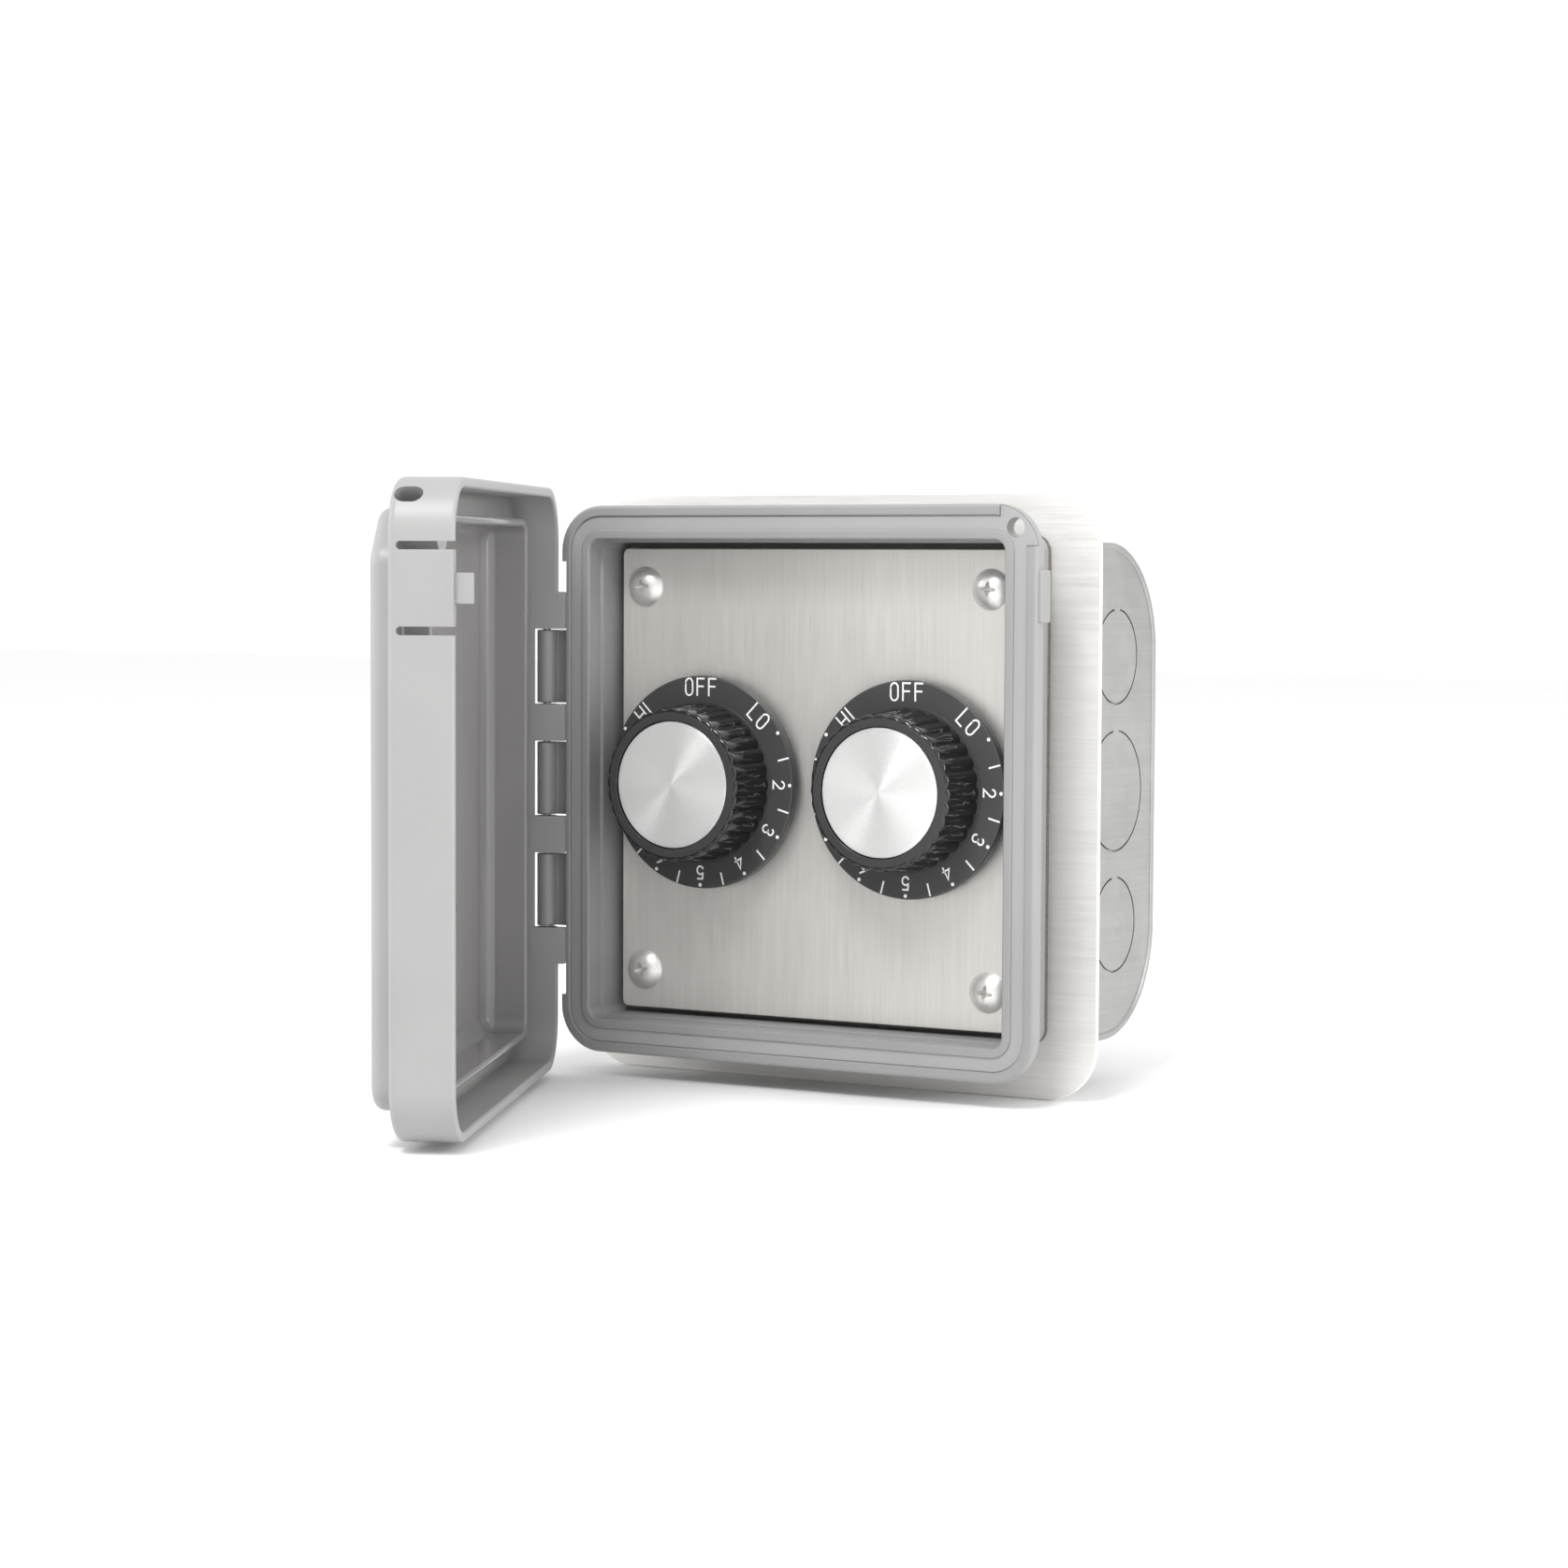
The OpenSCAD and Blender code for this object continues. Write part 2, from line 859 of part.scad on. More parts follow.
module latch_tongue() {
  outer = lid_w / 2;
  inner = outer - skin;
  barb_y = lid_rim + hook_len - barb_len;
  color("lightgray")
    swung_open() {
      translate([inner, lid_rim - tongue_len, latch_z - tongue_w / 2])
        cube([skin, tongue_len, tongue_w]);
      translate([0, 0, latch_z - tongue_w / 2])
        linear_extrude(tongue_w)
          polygon([
            [inner, lid_rim - ramp_len], [outer, lid_rim - ramp_len],
            [outer + ramp_out, lid_rim], [inner, lid_rim]
          ]);
      translate([0, 0, latch_z - hook_w / 2])
        linear_extrude(hook_w)
          polygon([
            [inner, lid_rim - hook_root], [inner + hook_t, lid_rim - hook_root],
            [inner + hook_t, lid_rim + hook_len], [inner, lid_rim + hook_len],
            [inner - barb_in, barb_y], [inner, barb_y - barb_ramp]
          ]);
    }
}

// ---- Nodes ----

box_wrap();
box_side_left();
box_side_right();
box_ears();
ground_screw();
wall_plate();
cover_gasket();
cover_base();
rim_seal();
hinge_pin();
faceplate();
faceplate_screws();
switch_front(left);  // switch_front_left
switch_front(right);  // switch_front_right
switch_case(left);  // switch_case_left
switch_case(right);  // switch_case_right
switch_terminals(left);  // switch_terminals_left
switch_terminals(right);  // switch_terminals_right
contact_strip(left);  // contact_strip_left
contact_strip(right);  // contact_strip_right
bushing_nuts();
lock_washers();
switch_shaft(left);  // switch_shaft_left
switch_shaft(right);  // switch_shaft_right
switch_cam(left);  // switch_cam_left
switch_cam(right);  // switch_cam_right
knob(left);  // knob_left
knob(right);  // knob_right
knob_cap(left);  // knob_cap_left
knob_cap(right);  // knob_cap_right
knob_spring(left);  // knob_spring_left
knob_spring(right);  // knob_spring_right
lid_frame();
lid_dome();
latch_tongue();
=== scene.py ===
"""Looks of a two-dial outdoor controller: steel box, trim plate, weatherproof cover and dials."""

import json
import math

import bmesh
import bpy
from mathutils import Matrix, Vector


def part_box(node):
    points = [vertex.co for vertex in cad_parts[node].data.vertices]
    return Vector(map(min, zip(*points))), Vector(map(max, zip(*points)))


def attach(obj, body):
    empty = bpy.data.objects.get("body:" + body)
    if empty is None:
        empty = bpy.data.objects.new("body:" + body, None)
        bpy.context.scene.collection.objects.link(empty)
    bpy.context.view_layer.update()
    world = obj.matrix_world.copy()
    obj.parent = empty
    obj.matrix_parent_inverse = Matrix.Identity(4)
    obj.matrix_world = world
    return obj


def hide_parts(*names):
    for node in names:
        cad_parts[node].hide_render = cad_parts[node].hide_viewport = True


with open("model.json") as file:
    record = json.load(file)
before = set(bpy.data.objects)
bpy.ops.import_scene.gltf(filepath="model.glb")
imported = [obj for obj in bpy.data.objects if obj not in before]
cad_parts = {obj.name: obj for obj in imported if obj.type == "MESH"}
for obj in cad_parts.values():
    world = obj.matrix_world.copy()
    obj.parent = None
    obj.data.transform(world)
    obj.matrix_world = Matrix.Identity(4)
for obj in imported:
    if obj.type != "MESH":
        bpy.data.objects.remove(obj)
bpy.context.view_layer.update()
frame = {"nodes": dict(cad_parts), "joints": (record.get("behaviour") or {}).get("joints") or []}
MM = 0.001

# ---- Places from the frame, in millimetres: X right, Y into the wall, Z up ----


def box_mm(node):
    low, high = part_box(node)
    return low / MM, high / MM


joints = {joint["name"]: joint for joint in frame["joints"]}
HINGE_X, HINGE_Y, LIFT = (value / MM for value in joints["lid_hinge"]["pos_m"])
LID_SWING = math.radians(joints["lid_hinge"]["range_deg"][0])
KNOB_X = joints["right_knob_turn"]["pos_m"][0] / MM

COVER_DEPTH = 19
SEAT = box_mm("cover_gasket")[0].y
RIM = SEAT - COVER_DEPTH
FACE = box_mm("faceplate")[0].y
FACE_BACK = box_mm("faceplate")[1].y
CAP_FRONT = box_mm("knob_cap_left")[0].y

# Cover
RIM_W, RIM_H, RIM_R = 123.4, 127.3, 10.5
FLANGE_T = 4
BAND_OUT, GROOVE, BAND_IN = 2.5, 3.1, 2.2
GROOVE_DEPTH = 1.2
MOUTH_STEP, STEP_IN, WALL_T, FLOOR_T = 5, 0.7, 2, 2
OPENING_W, OPENING_H, OPENING_R = 98, 76, 4
LOW_CORNER, LIP_BEVEL = 9.2, 3.2
LOCK_X, LOCK_Z, LOCK_R = 56.3, 58.5, 2.1
CATCH_Z, CATCH_H, CATCH_OUT, CATCH_BACK = 43.5, 11.4, 0.7, 5.8
BOSS_R, SCREW_HOLE_R = 5, 2.3
SCREW_X, SCREW_Z = 45.2, 44.9

# Hinge
STRAP_W, STRAP_PITCH = 8.6, 26.2
KNUCKLE_R, BARREL_R, BARREL_LEN = 2.6, 2.2, 17
HINGE_HALF = 1.5 * STRAP_PITCH + STRAP_W / 2 + 0.1
RIM_CUT, RIM_CUT_HALF = 1.5, HINGE_HALF + 7

# Lid, drawn shut
LID_W, LID_H, LID_R = 131, 135.2, 12
LID_DEPTH, DOME_OUT, SKIN = 13.7, 5, 2.2
LID_RIM = RIM + 3.6
LID_FACE = LID_RIM - LID_DEPTH
RING_IN, RING_T, RING_DOWN, DOME_IN = 7.2, 1.8, 6, 6.2
TUB_R = 12.2
LOCK_CLEAR = 3.5
POST_R = 6.5
WINDOW_DEPTH = 5.6
STRAP_PAST = 1.8
LATCH_Z, TONGUE_W, SLIT_W, TONGUE_LEN, ROOT_GAP = 45.2, 15.4, 1.7, 11, 0.3
RAMP_LEN, RAMP_OUT = 4, 1.1
HOOK_W, HOOK_LEN, HOOK_T, BARB_IN, BARB_LEN = 6.2, 3.7, 1.6, 0.55, 1.2
SLOT_W, SLOT_LEN, SLOT_FROM_FACE = 4.4, 6, 0.8

# Dials
SKIRT_R, SKIRT_T, SKIRT_BACK = 24.6, 2.7, RIM + 8.4
SKIRT_FRONT = SKIRT_BACK - SKIRT_T
GRIP_FRONT = RIM - 7.2
GRIP_R_FRONT, GRIP_R_BACK, FLUTES, FLUTE_DEPTH = 17.5, 18.25, 32, 0.62
CAP_R = 14.45

# Box
BOX, BOX_R, SHEET = 114, 25, 1.6
MOUTH_Y = box_mm("wall_plate")[1].y
FIXING_X, FIXING_Z, FIXING_R = 76.2, 50.8, 2.4
EARTH_Z = -18


# ---- Materials ----


def new_material(name, colour, roughness, metallic=0.0):
    material = bpy.data.materials.new(name)
    material.use_nodes = True
    shader = material.node_tree.nodes["Principled BSDF"]
    shader.inputs["Base Color"].default_value = (*colour, 1)
    shader.inputs["Roughness"].default_value = roughness
    shader.inputs["Metallic"].default_value = metallic
    return material, material.node_tree, shader


def noise(tree, scale, detail=3.0, roughness=0.55, distortion=0.0):
    """Noise in the object's own metres; scale is how many times it repeats a metre along X, Y and Z."""
    place = tree.nodes.new("ShaderNodeTexCoord")
    stretch = tree.nodes.new("ShaderNodeMapping")
    stretch.inputs["Scale"].default_value = scale
    texture = tree.nodes.new("ShaderNodeTexNoise")
    texture.inputs["Scale"].default_value = 1.0
    texture.inputs["Detail"].default_value = detail
    texture.inputs["Roughness"].default_value = roughness
    texture.inputs["Distortion"].default_value = distortion
    tree.links.new(place.outputs["Object"], stretch.inputs["Vector"])
    tree.links.new(stretch.outputs["Vector"], texture.inputs["Vector"])
    return texture.outputs["Fac"]


def between(tree, factor, low, high, from_low=0.3, from_high=0.7):
    """Maps a noise onto a range of numbers."""
    node = tree.nodes.new("ShaderNodeMapRange")
    node.inputs["From Min"].default_value = from_low
    node.inputs["From Max"].default_value = from_high
    node.inputs["To Min"].default_value = low
    node.inputs["To Max"].default_value = high
    tree.links.new(factor, node.inputs["Value"])
    return node.outputs["Result"]


def times(tree, first, second):
    node = tree.nodes.new("ShaderNodeMath")
    node.operation = "MULTIPLY"
    tree.links.new(first, node.inputs[0])
    tree.links.new(second, node.inputs[1])
    return node.outputs["Value"]


def shade(tree, colour, amount):
    """A colour made lighter or darker by a number that varies over the surface."""
    node = tree.nodes.new("ShaderNodeVectorMath")
    node.operation = "SCALE"
    node.inputs[0].default_value = colour
    tree.links.new(amount, node.inputs["Scale"])
    return node.outputs["Vector"]


def bump(tree, shader, height, strength, distance_mm):
    node = tree.nodes.new("ShaderNodeBump")
    node.inputs["Strength"].default_value = strength
    node.inputs["Distance"].default_value = distance_mm * MM
    tree.links.new(height, node.inputs["Height"])
    tree.links.new(node.outputs["Normal"], shader.inputs["Normal"])


def plastic(name, colour, roughness, grain=0.25, specular=0.5, coat=0.0):
    """Moulded plastic: fine spark-eroded grain, soft flow marks and a slight unevenness of colour."""
    material, tree, shader = new_material(name, colour, roughness)
    shader.inputs["Specular IOR Level"].default_value = specular
    shader.inputs["Coat Weight"].default_value = coat
    shader.inputs["Coat Roughness"].default_value = 0.12
    fine = noise(tree, (2600, 2600, 2600), 2.0)
    flow = noise(tree, (38, 38, 24), 3.0, 0.5, 0.6)
    tone = times(tree, between(tree, flow, 0.965, 1.035), between(tree, fine, 0.985, 1.015))
    tree.links.new(shade(tree, colour, tone), shader.inputs["Base Color"])
    tree.links.new(between(tree, flow, roughness * 0.9, roughness * 1.12), shader.inputs["Roughness"])
    bump(tree, shader, fine, grain, 0.02)
    return material


def brushed(name, colour, along, roughness, metallic, contrast, patches, anisotropy):
    """Brushed steel: fine and coarse streaks along one axis, and soft clouds where the belt pressed harder."""
    material, tree, shader = new_material(name, colour, roughness, metallic)
    fine_scale = [2600.0, 2600.0, 2600.0]
    coarse_scale = [900.0, 900.0, 900.0]
    fine_scale[along] = 70.0
    coarse_scale[along] = 16.0
    fine = noise(tree, fine_scale, 3.0, 0.6)
    coarse = noise(tree, coarse_scale, 3.0, 0.6)
    cloud = noise(tree, (20, 20, 20), 3.0, 0.5, 0.5)
    streaks = times(tree, between(tree, fine, 1 - contrast, 1 + contrast), between(tree, coarse, 0.97, 1.03))
    tone = times(tree, streaks, between(tree, cloud, 1 - patches, 1 + patches))
    tree.links.new(shade(tree, colour, tone), shader.inputs["Base Color"])
    tree.links.new(between(tree, fine, roughness * 0.82, roughness * 1.2), shader.inputs["Roughness"])
    bump(tree, shader, fine, 0.12, 0.02)
    shader.inputs["Anisotropic"].default_value = anisotropy
    tangent = tree.nodes.new("ShaderNodeTangent")
    tangent.direction_type = "UV_MAP"
    tangent.uv_map = "grain"
    tree.links.new(tangent.outputs["Tangent"], shader.inputs["Tangent"])
    return material


def spun(name, colour, roughness, metallic, anisotropy):
    """Metal turned on a lathe about Y: rings that stretch the highlights outwards from the middle."""
    material, tree, shader = new_material(name, colour, roughness, metallic)
    shader.inputs["Anisotropic"].default_value = anisotropy
    shader.inputs["Anisotropic Rotation"].default_value = 0.25
    tangent = tree.nodes.new("ShaderNodeTangent")
    tangent.direction_type = "RADIAL"
    tangent.axis = "Y"
    tree.links.new(tangent.outputs["Tangent"], shader.inputs["Tangent"])
    fine = noise(tree, (2600, 2600, 2600), 2.0)
    tree.links.new(shade(tree, colour, between(tree, fine, 0.97, 1.03)), shader.inputs["Base Color"])
    tree.links.new(between(tree, fine, roughness * 0.9, roughness * 1.15), shader.inputs["Roughness"])
    return material


def galvanised(name, colour, roughness):
    """Zinc-coated sheet: faint spangle, rolling streaks up the sheet and a dull, even sheen."""
    material, tree, shader = new_material(name, colour, roughness, 1.0)
    place = tree.nodes.new("ShaderNodeTexCoord")
    spangle = tree.nodes.new("ShaderNodeTexVoronoi")
    spangle.inputs["Scale"].default_value = 240.0
    tree.links.new(place.outputs["Object"], spangle.inputs["Vector"])
    flake = tree.nodes.new("ShaderNodeSeparateColor")
    tree.links.new(spangle.outputs["Color"], flake.inputs["Color"])
    streak = noise(tree, (24, 24, 1300), 4.0, 0.65)
    cloud = noise(tree, (30, 30, 30), 4.0, 0.6, 0.5)
    tone = times(tree, between(tree, flake.outputs["Red"], 0.975, 1.025, 0.0, 1.0), between(tree, streak, 0.95, 1.05))
    tone = times(tree, tone, between(tree, cloud, 0.93, 1.07))
    tree.links.new(shade(tree, colour, tone), shader.inputs["Base Color"])
    tree.links.new(between(tree, cloud, roughness * 0.88, roughness * 1.14), shader.inputs["Roughness"])
    bump(tree, shader, streak, 0.1, 0.02)
    return material


def worn_metal(name, colour, roughness, metallic=1.0):
    """Small plated or turned metal parts: light scuffs in tone and roughness."""
    material, tree, shader = new_material(name, colour, roughness, metallic)
    scuffs = noise(tree, (520, 520, 520), 3.0, 0.55, 0.5)
    tree.links.new(shade(tree, colour, between(tree, scuffs, 0.95, 1.04)), shader.inputs["Base Color"])
    tree.links.new(between(tree, scuffs, roughness * 0.9, roughness * 1.15), shader.inputs["Roughness"])
    bump(tree, shader, scuffs, 0.03, 0.02)
    return material


def foam(name, colour):
    material, tree, shader = new_material(name, colour, 0.9)
    cells = noise(tree, (1900, 1900, 1900), 3.0)
    tree.links.new(shade(tree, colour, between(tree, cells, 0.6, 1.5)), shader.inputs["Base Color"])
    bump(tree, shader, cells, 0.6, 0.15)
    return material


COVER_GREY = plastic("cover_grey", (0.30, 0.298, 0.30), 0.36)
LID_GREY = plastic("lid_grey", (0.325, 0.322, 0.321), 0.40)
# Inside of the lid's tub: the gloss is real, but the grey is set darker than lid_grey as painted shade for the shaded
# inside.
TUB_GLOSS_SHADED = plastic("tub_gloss_painted_shade", (0.25, 0.245, 0.243), 0.14, 0.05, 0.6)
SEAL_GREY = plastic("seal_grey", (0.35, 0.35, 0.355), 0.55, 0.35)
SKIRT_BLACK = plastic("skirt_black", (0.055, 0.055, 0.057), 0.38, 0.12)
GRIP_BLACK = plastic("grip_black", (0.012, 0.012, 0.013), 0.10, 0.03, 0.65)
RING_BLACK = plastic("ring_black", (0.045, 0.045, 0.047), 0.33, 0.12)
MARK_WHITE = plastic("mark_white", (0.95, 0.95, 0.94), 0.5, 0.1)
PLATE_STEEL = brushed("plate_steel", (0.82, 0.80, 0.765), 2, 0.46, 0.75, 0.045, 0.05, 0.7)
TRIM_STEEL = brushed("trim_steel", (0.83, 0.82, 0.795), 0, 0.50, 0.5, 0.035, 0.02, 0.4)
SCREW_STEEL = worn_metal("screw_steel", (0.86, 0.85, 0.83), 0.36, 0.75)
CAP_METAL = spun("cap_metal", (0.97, 0.97, 0.965), 0.38, 0.68, 0.8)
BOX_ZINC = galvanised("box_zinc", (0.40, 0.397, 0.39), 0.44)
ZINC = worn_metal("zinc_plate", (0.6, 0.61, 0.64), 0.32)
BRASS = worn_metal("brass", (0.72, 0.53, 0.24), 0.3)
BIMETAL = worn_metal("bimetal", (0.55, 0.36, 0.22), 0.35)
GREEN = worn_metal("earth_green", (0.03, 0.26, 0.08), 0.35, 0.4)
CASE_BROWN = plastic("case_phenolic", (0.09, 0.045, 0.03), 0.28, 0.1)
NYLON = plastic("cam_nylon", (0.75, 0.72, 0.62), 0.4)
# Foam gasket behind the cover: a real part, but its warm dark grey is chosen to match the shade on the wall plate
# beside it, so it is partly painted shade.
FOAM = foam("gasket_foam", (0.15, 0.135, 0.12))


# ---- Mesh building, in millimetres ----

CORNER_STEPS = 12
PROUD = 0.03
SMOOTH_BELOW = math.radians(32)


def soften(points, closed=True, steps=4):
    """Turns the corners of a profile, given as (across, along, radius), into arcs."""
    smooth = []
    count = len(points)
    for index, (across, along, radius) in enumerate(points):
        corner = Vector((across, along))
        if radius <= 0 or (not closed and index in (0, count - 1)):
            smooth.append(corner)
            continue
        before = Vector(points[index - 1][:2]) - corner
        after = Vector(points[(index + 1) % count][:2]) - corner
        half = before.angle(after) / 2
        reach = min(radius / math.tan(half), 0.49 * before.length, 0.49 * after.length)
        centre = corner + (before.normalized() + after.normalized()).normalized() * reach / math.cos(half)
        start = corner + before.normalized() * reach - centre
        end = corner + after.normalized() * reach - centre
        turn = math.atan2(start.x * end.y - start.y * end.x, start.dot(end))
        for step in range(steps + 1):
            smooth.append(centre + Matrix.Rotation(turn * step / steps, 2) @ start)
    return smooth


def rectangle(width, height, z=0.0):
    """Corners, anticlockwise from the front."""
    w, h = width / 2, height / 2
    return [(w, h + z), (-w, h + z), (-w, z - h), (w, z - h)]


def cut_rectangle(width, height, cut, z=0.0):
    """A rectangle whose upper right corner is cut along the line x + z = cut."""
    w, h = width / 2, height / 2
    return [(w, cut - w + z), (cut - h, h + z), (-w, h + z), (-w, z - h), (w, z - h)]


def inset_ring(corners, radius, inset, depth, least=0.3):
    """Points at one depth round an outline that lies inset inside the corners, with round corners."""
    count = len(corners)
    radius = max(radius - inset, least)
    points = []
    for index, corner in enumerate(corners):
        corner = Vector(corner)
        before = (corner - Vector(corners[index - 1])).normalized()
        after = (Vector(corners[(index + 1) % count]) - corner).normalized()
        out_before = Vector((before.y, -before.x))
        out_after = Vector((after.y, -after.x))
        turn = math.atan2(out_before.x * out_after.y - out_before.y * out_after.x, out_before.dot(out_after))
        inwards = -(out_before + out_after).normalized()
        centre = corner + inwards * (inset + radius) / math.cos(turn / 2)
        for step in range(CORNER_STEPS + 1):
            spoke = Matrix.Rotation(turn * step / CORNER_STEPS, 2) @ out_before
            points.append((centre.x + radius * spoke.x, depth, centre.y + radius * spoke.y))
    return points


def loft(rings, closed=False):
    """Joins rings of equal length; open ends are capped."""
    size = len(rings[0])
    points = [point for ring in rings for point in ring]
    faces = []
    for k in range(len(rings) if closed else len(rings) - 1):
        a, b = k * size, (k + 1) % len(rings) * size
        faces += [(a + i, a + (i + 1) % size, b + (i + 1) % size, b + i) for i in range(size)]
    if not closed:
        faces.append(tuple(range(size)))
        faces.append(tuple(len(points) - 1 - i for i in range(size)))
    return points, faces


def prism(outline, low, high, axis="Y"):
    """Extrudes an outline along Y, drawn in X and Z, or along Z, drawn in X and Y, or along X, in Y and Z."""
    place = {
        "X": lambda p, along: (along, p[0], p[1]),
        "Y": lambda p, along: (p[0], along, p[1]),
        "Z": lambda p, along: (p[0], p[1], along),
    }[axis]
    return loft([[place(p, low) for p in outline], [place(p, high) for p in outline]])


def circle(x, z, radius, steps=48):
    return [
        (x + radius * math.cos(math.tau * i / steps), z + radius * math.sin(math.tau * i / steps)) for i in range(steps)
    ]


def lathe(x, z, profile, steps=96, closed=False):
    """Turns a profile of (radius, depth) about the Y axis through x and z."""
    return loft([[(cx, depth, cz) for cx, cz in circle(x, z, radius, steps)] for radius, depth in profile], closed)


def together(*shapes):
    points, faces = [], []
    for more, more_faces in shapes:
        start = len(points)
        points += more
        faces += [tuple(start + i for i in face) for face in more_faces]
    return points, faces


def solid(name, shape, material=None):
    points, faces = shape
    mesh = bpy.data.meshes.new(name)
    mesh.from_pydata([Vector(p) * MM for p in points], [], faces)
    net = bmesh.new()
    net.from_mesh(mesh)
    bmesh.ops.recalc_face_normals(net, faces=net.faces)
    net.to_mesh(mesh)
    net.free()
    piece = bpy.data.objects.new(name, mesh)
    bpy.context.scene.collection.objects.link(piece)
    if material:
        mesh.materials.append(material)
    return piece


def carve(piece, cutters, operation="DIFFERENCE"):
    """Cuts shapes out of a piece, or joins them on, and keeps only the result."""
    tools = [solid("tool", cutter) for cutter in cutters]
    for tool in tools:
        step = piece.modifiers.new("carve", "BOOLEAN")
        step.object = tool
        step.operation = operation
        step.solver = "EXACT"
    graph = bpy.context.evaluated_depsgraph_get()
    result = bpy.data.meshes.new_from_object(piece.evaluated_get(graph))
    piece.modifiers.clear()
    piece.data = result
    for tool in tools:
        bpy.data.objects.remove(tool)
    return piece


def swing_open(piece):
    """Turns a lid part, drawn shut, about the hinge to where it stands open."""
    hinge = Vector((HINGE_X, HINGE_Y, 0)) * MM
    turn = Matrix.Translation(hinge) @ Matrix.Rotation(LID_SWING, 4, "Z") @ Matrix.Translation(-hinge)
    piece.data.transform(turn)


def finish_piece(piece, body, replaces=(), edge=0.0, segments=2):
    """Softens the sharp edges, smooths the round faces, and hands the piece to its body."""
    net = bmesh.new()
    net.from_mesh(piece.data)
    bmesh.ops.remove_doubles(net, verts=net.verts, dist=0.002 * MM)
    for face in net.faces:
        face.smooth = True
    for line in net.edges:
        line.smooth = len(line.link_faces) == 2 and line.calc_face_angle() < SMOOTH_BELOW
    net.to_mesh(piece.data)
    net.free()
    if edge:
        soft = piece.modifiers.new("edges", "BEVEL")
        soft.width = edge * MM
        soft.segments = segments
        soft.limit_method = "ANGLE"
        soft.angle_limit = math.radians(50)
        soft.harden_normals = False
    flat = piece.modifiers.new("flat_faces", "WEIGHTED_NORMAL")
    flat.keep_sharp = True
    flat.weight = 100
    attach(piece, body)
    if replaces:
        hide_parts(*replaces)
    return piece


def grain_map(piece, tangent_axis):
    """A UV map whose first direction is the way that highlights stretch, across the brushing."""
    other = 2 - tangent_axis
    layer = piece.data.uv_layers.new(name="grain")
    for loop in piece.data.loops:
        point = piece.data.vertices[loop.vertex_index].co
        layer.data[loop.index].uv = (point[tangent_axis], point[other])


# ---- Cover: flange with a stepped rim, sleeve, knuckles and catch ----


def cover_frame():
    corners = rectangle(RIM_W, RIM_H, LIFT)
    groove_end = BAND_OUT + GROOVE
    mouth = groove_end + BAND_IN
    sleeve = mouth + STEP_IN - WALL_T
    profile = soften(
        [
            (sleeve, COVER_DEPTH, 0.4), (sleeve, FLANGE_T, 0.6), (0, FLANGE_T, 0.7), (0, 0, 0.8),
            (BAND_OUT, 0, 0.35), (BAND_OUT, GROOVE_DEPTH, 0.3), (groove_end, GROOVE_DEPTH, 0.3),
            (groove_end, 0, 0.45), (mouth, 0, 0.5), (mouth, MOUTH_STEP, 0.3), (mouth + STEP_IN, MOUTH_STEP, 0.3),
            (mouth + STEP_IN, COVER_DEPTH - FLOOR_T, 0.8), (mouth + STEP_IN + 1.2, COVER_DEPTH - FLOOR_T, 0),
        ],
        closed=False,
    )
    rings = [inset_ring(corners, RIM_R, inset, RIM + depth, 1.4) for inset, depth in profile]
    opening = rectangle(OPENING_W, OPENING_H, LIFT)
    rings += [inset_ring(opening, OPENING_R, 0, SEAT - FLOOR_T), inset_ring(opening, OPENING_R, 0, SEAT)]
    piece = solid("cover_frame", loft(rings, closed=True), COVER_GREY)

    right, top = RIM_W / 2, RIM_H / 2 + LIFT
    lip_x, lip_z = right - groove_end, top - groove_end
    low_corner = [
        (right - LOW_CORNER, top + 1), (right - LOW_CORNER, lip_z), (lip_x - LIP_BEVEL, lip_z),
        (lip_x, lip_z - LIP_BEVEL), (lip_x, top - LOW_CORNER), (right + 1, top - LOW_CORNER), (right + 1, top + 1),
    ]
    lock = circle(LOCK_X, LOCK_Z + LIFT, LOCK_R)
    hinge_cut = [
        (-right - 1, LIFT - RIM_CUT_HALF), (RIM_CUT - right, LIFT - RIM_CUT_HALF),
        (RIM_CUT - right, LIFT + RIM_CUT_HALF), (-right - 1, LIFT + RIM_CUT_HALF),
    ]
    carve(
        piece,
        [
            prism(low_corner, RIM - 1, RIM + GROOVE_DEPTH),
            prism(lock, RIM - 1, RIM + FLANGE_T + 1),
            prism(hinge_cut, RIM - 1, RIM + FLANGE_T + 1),
        ],
    )
    return finish_piece(piece, "housing", ["cover_base"], 0.25, 3)


def cover_knuckles():
    """Barrels on the pin, each with an arm to the flange."""
    shapes = []
    arm_end = RIM_CUT - RIM_W / 2 + 0.4
    for index in (-1, 0, 1):
        low = LIFT + index * STRAP_PITCH - BARREL_LEN / 2
        outline = [
            (HINGE_X + BARREL_R * math.cos(a), HINGE_Y + BARREL_R * math.sin(a))
            for a in (math.radians(90 + 270 * i / 36) for i in range(37))
        ]
        outline += [(HINGE_X + BARREL_R, RIM + 1.9), (arm_end, RIM + 1.9), (arm_end, RIM + FLANGE_T - 0.1)]
        outline += [(HINGE_X, RIM + FLANGE_T - 0.1)]
        shapes.append(prism(outline, low, low + BARREL_LEN, "Z"))
    piece = solid("cover_knuckles", together(*shapes), COVER_GREY)
    return finish_piece(piece, "housing", (), 0.3, 3)


def cover_catch():
    """The step that the latch's hook snaps over."""
    low = CATCH_Z + LIFT - CATCH_H / 2
    edge = RIM_W / 2
    outline = [(edge - 1, RIM + 1), (edge + CATCH_OUT, RIM + 1.2), (edge + CATCH_OUT, RIM + CATCH_BACK)]
    outline += [(edge - 1, RIM + CATCH_BACK)]
    piece = solid("cover_catch", prism(outline, low, low + CATCH_H, "Z"), COVER_GREY)
    return finish_piece(piece, "housing", (), 0.4, 3)


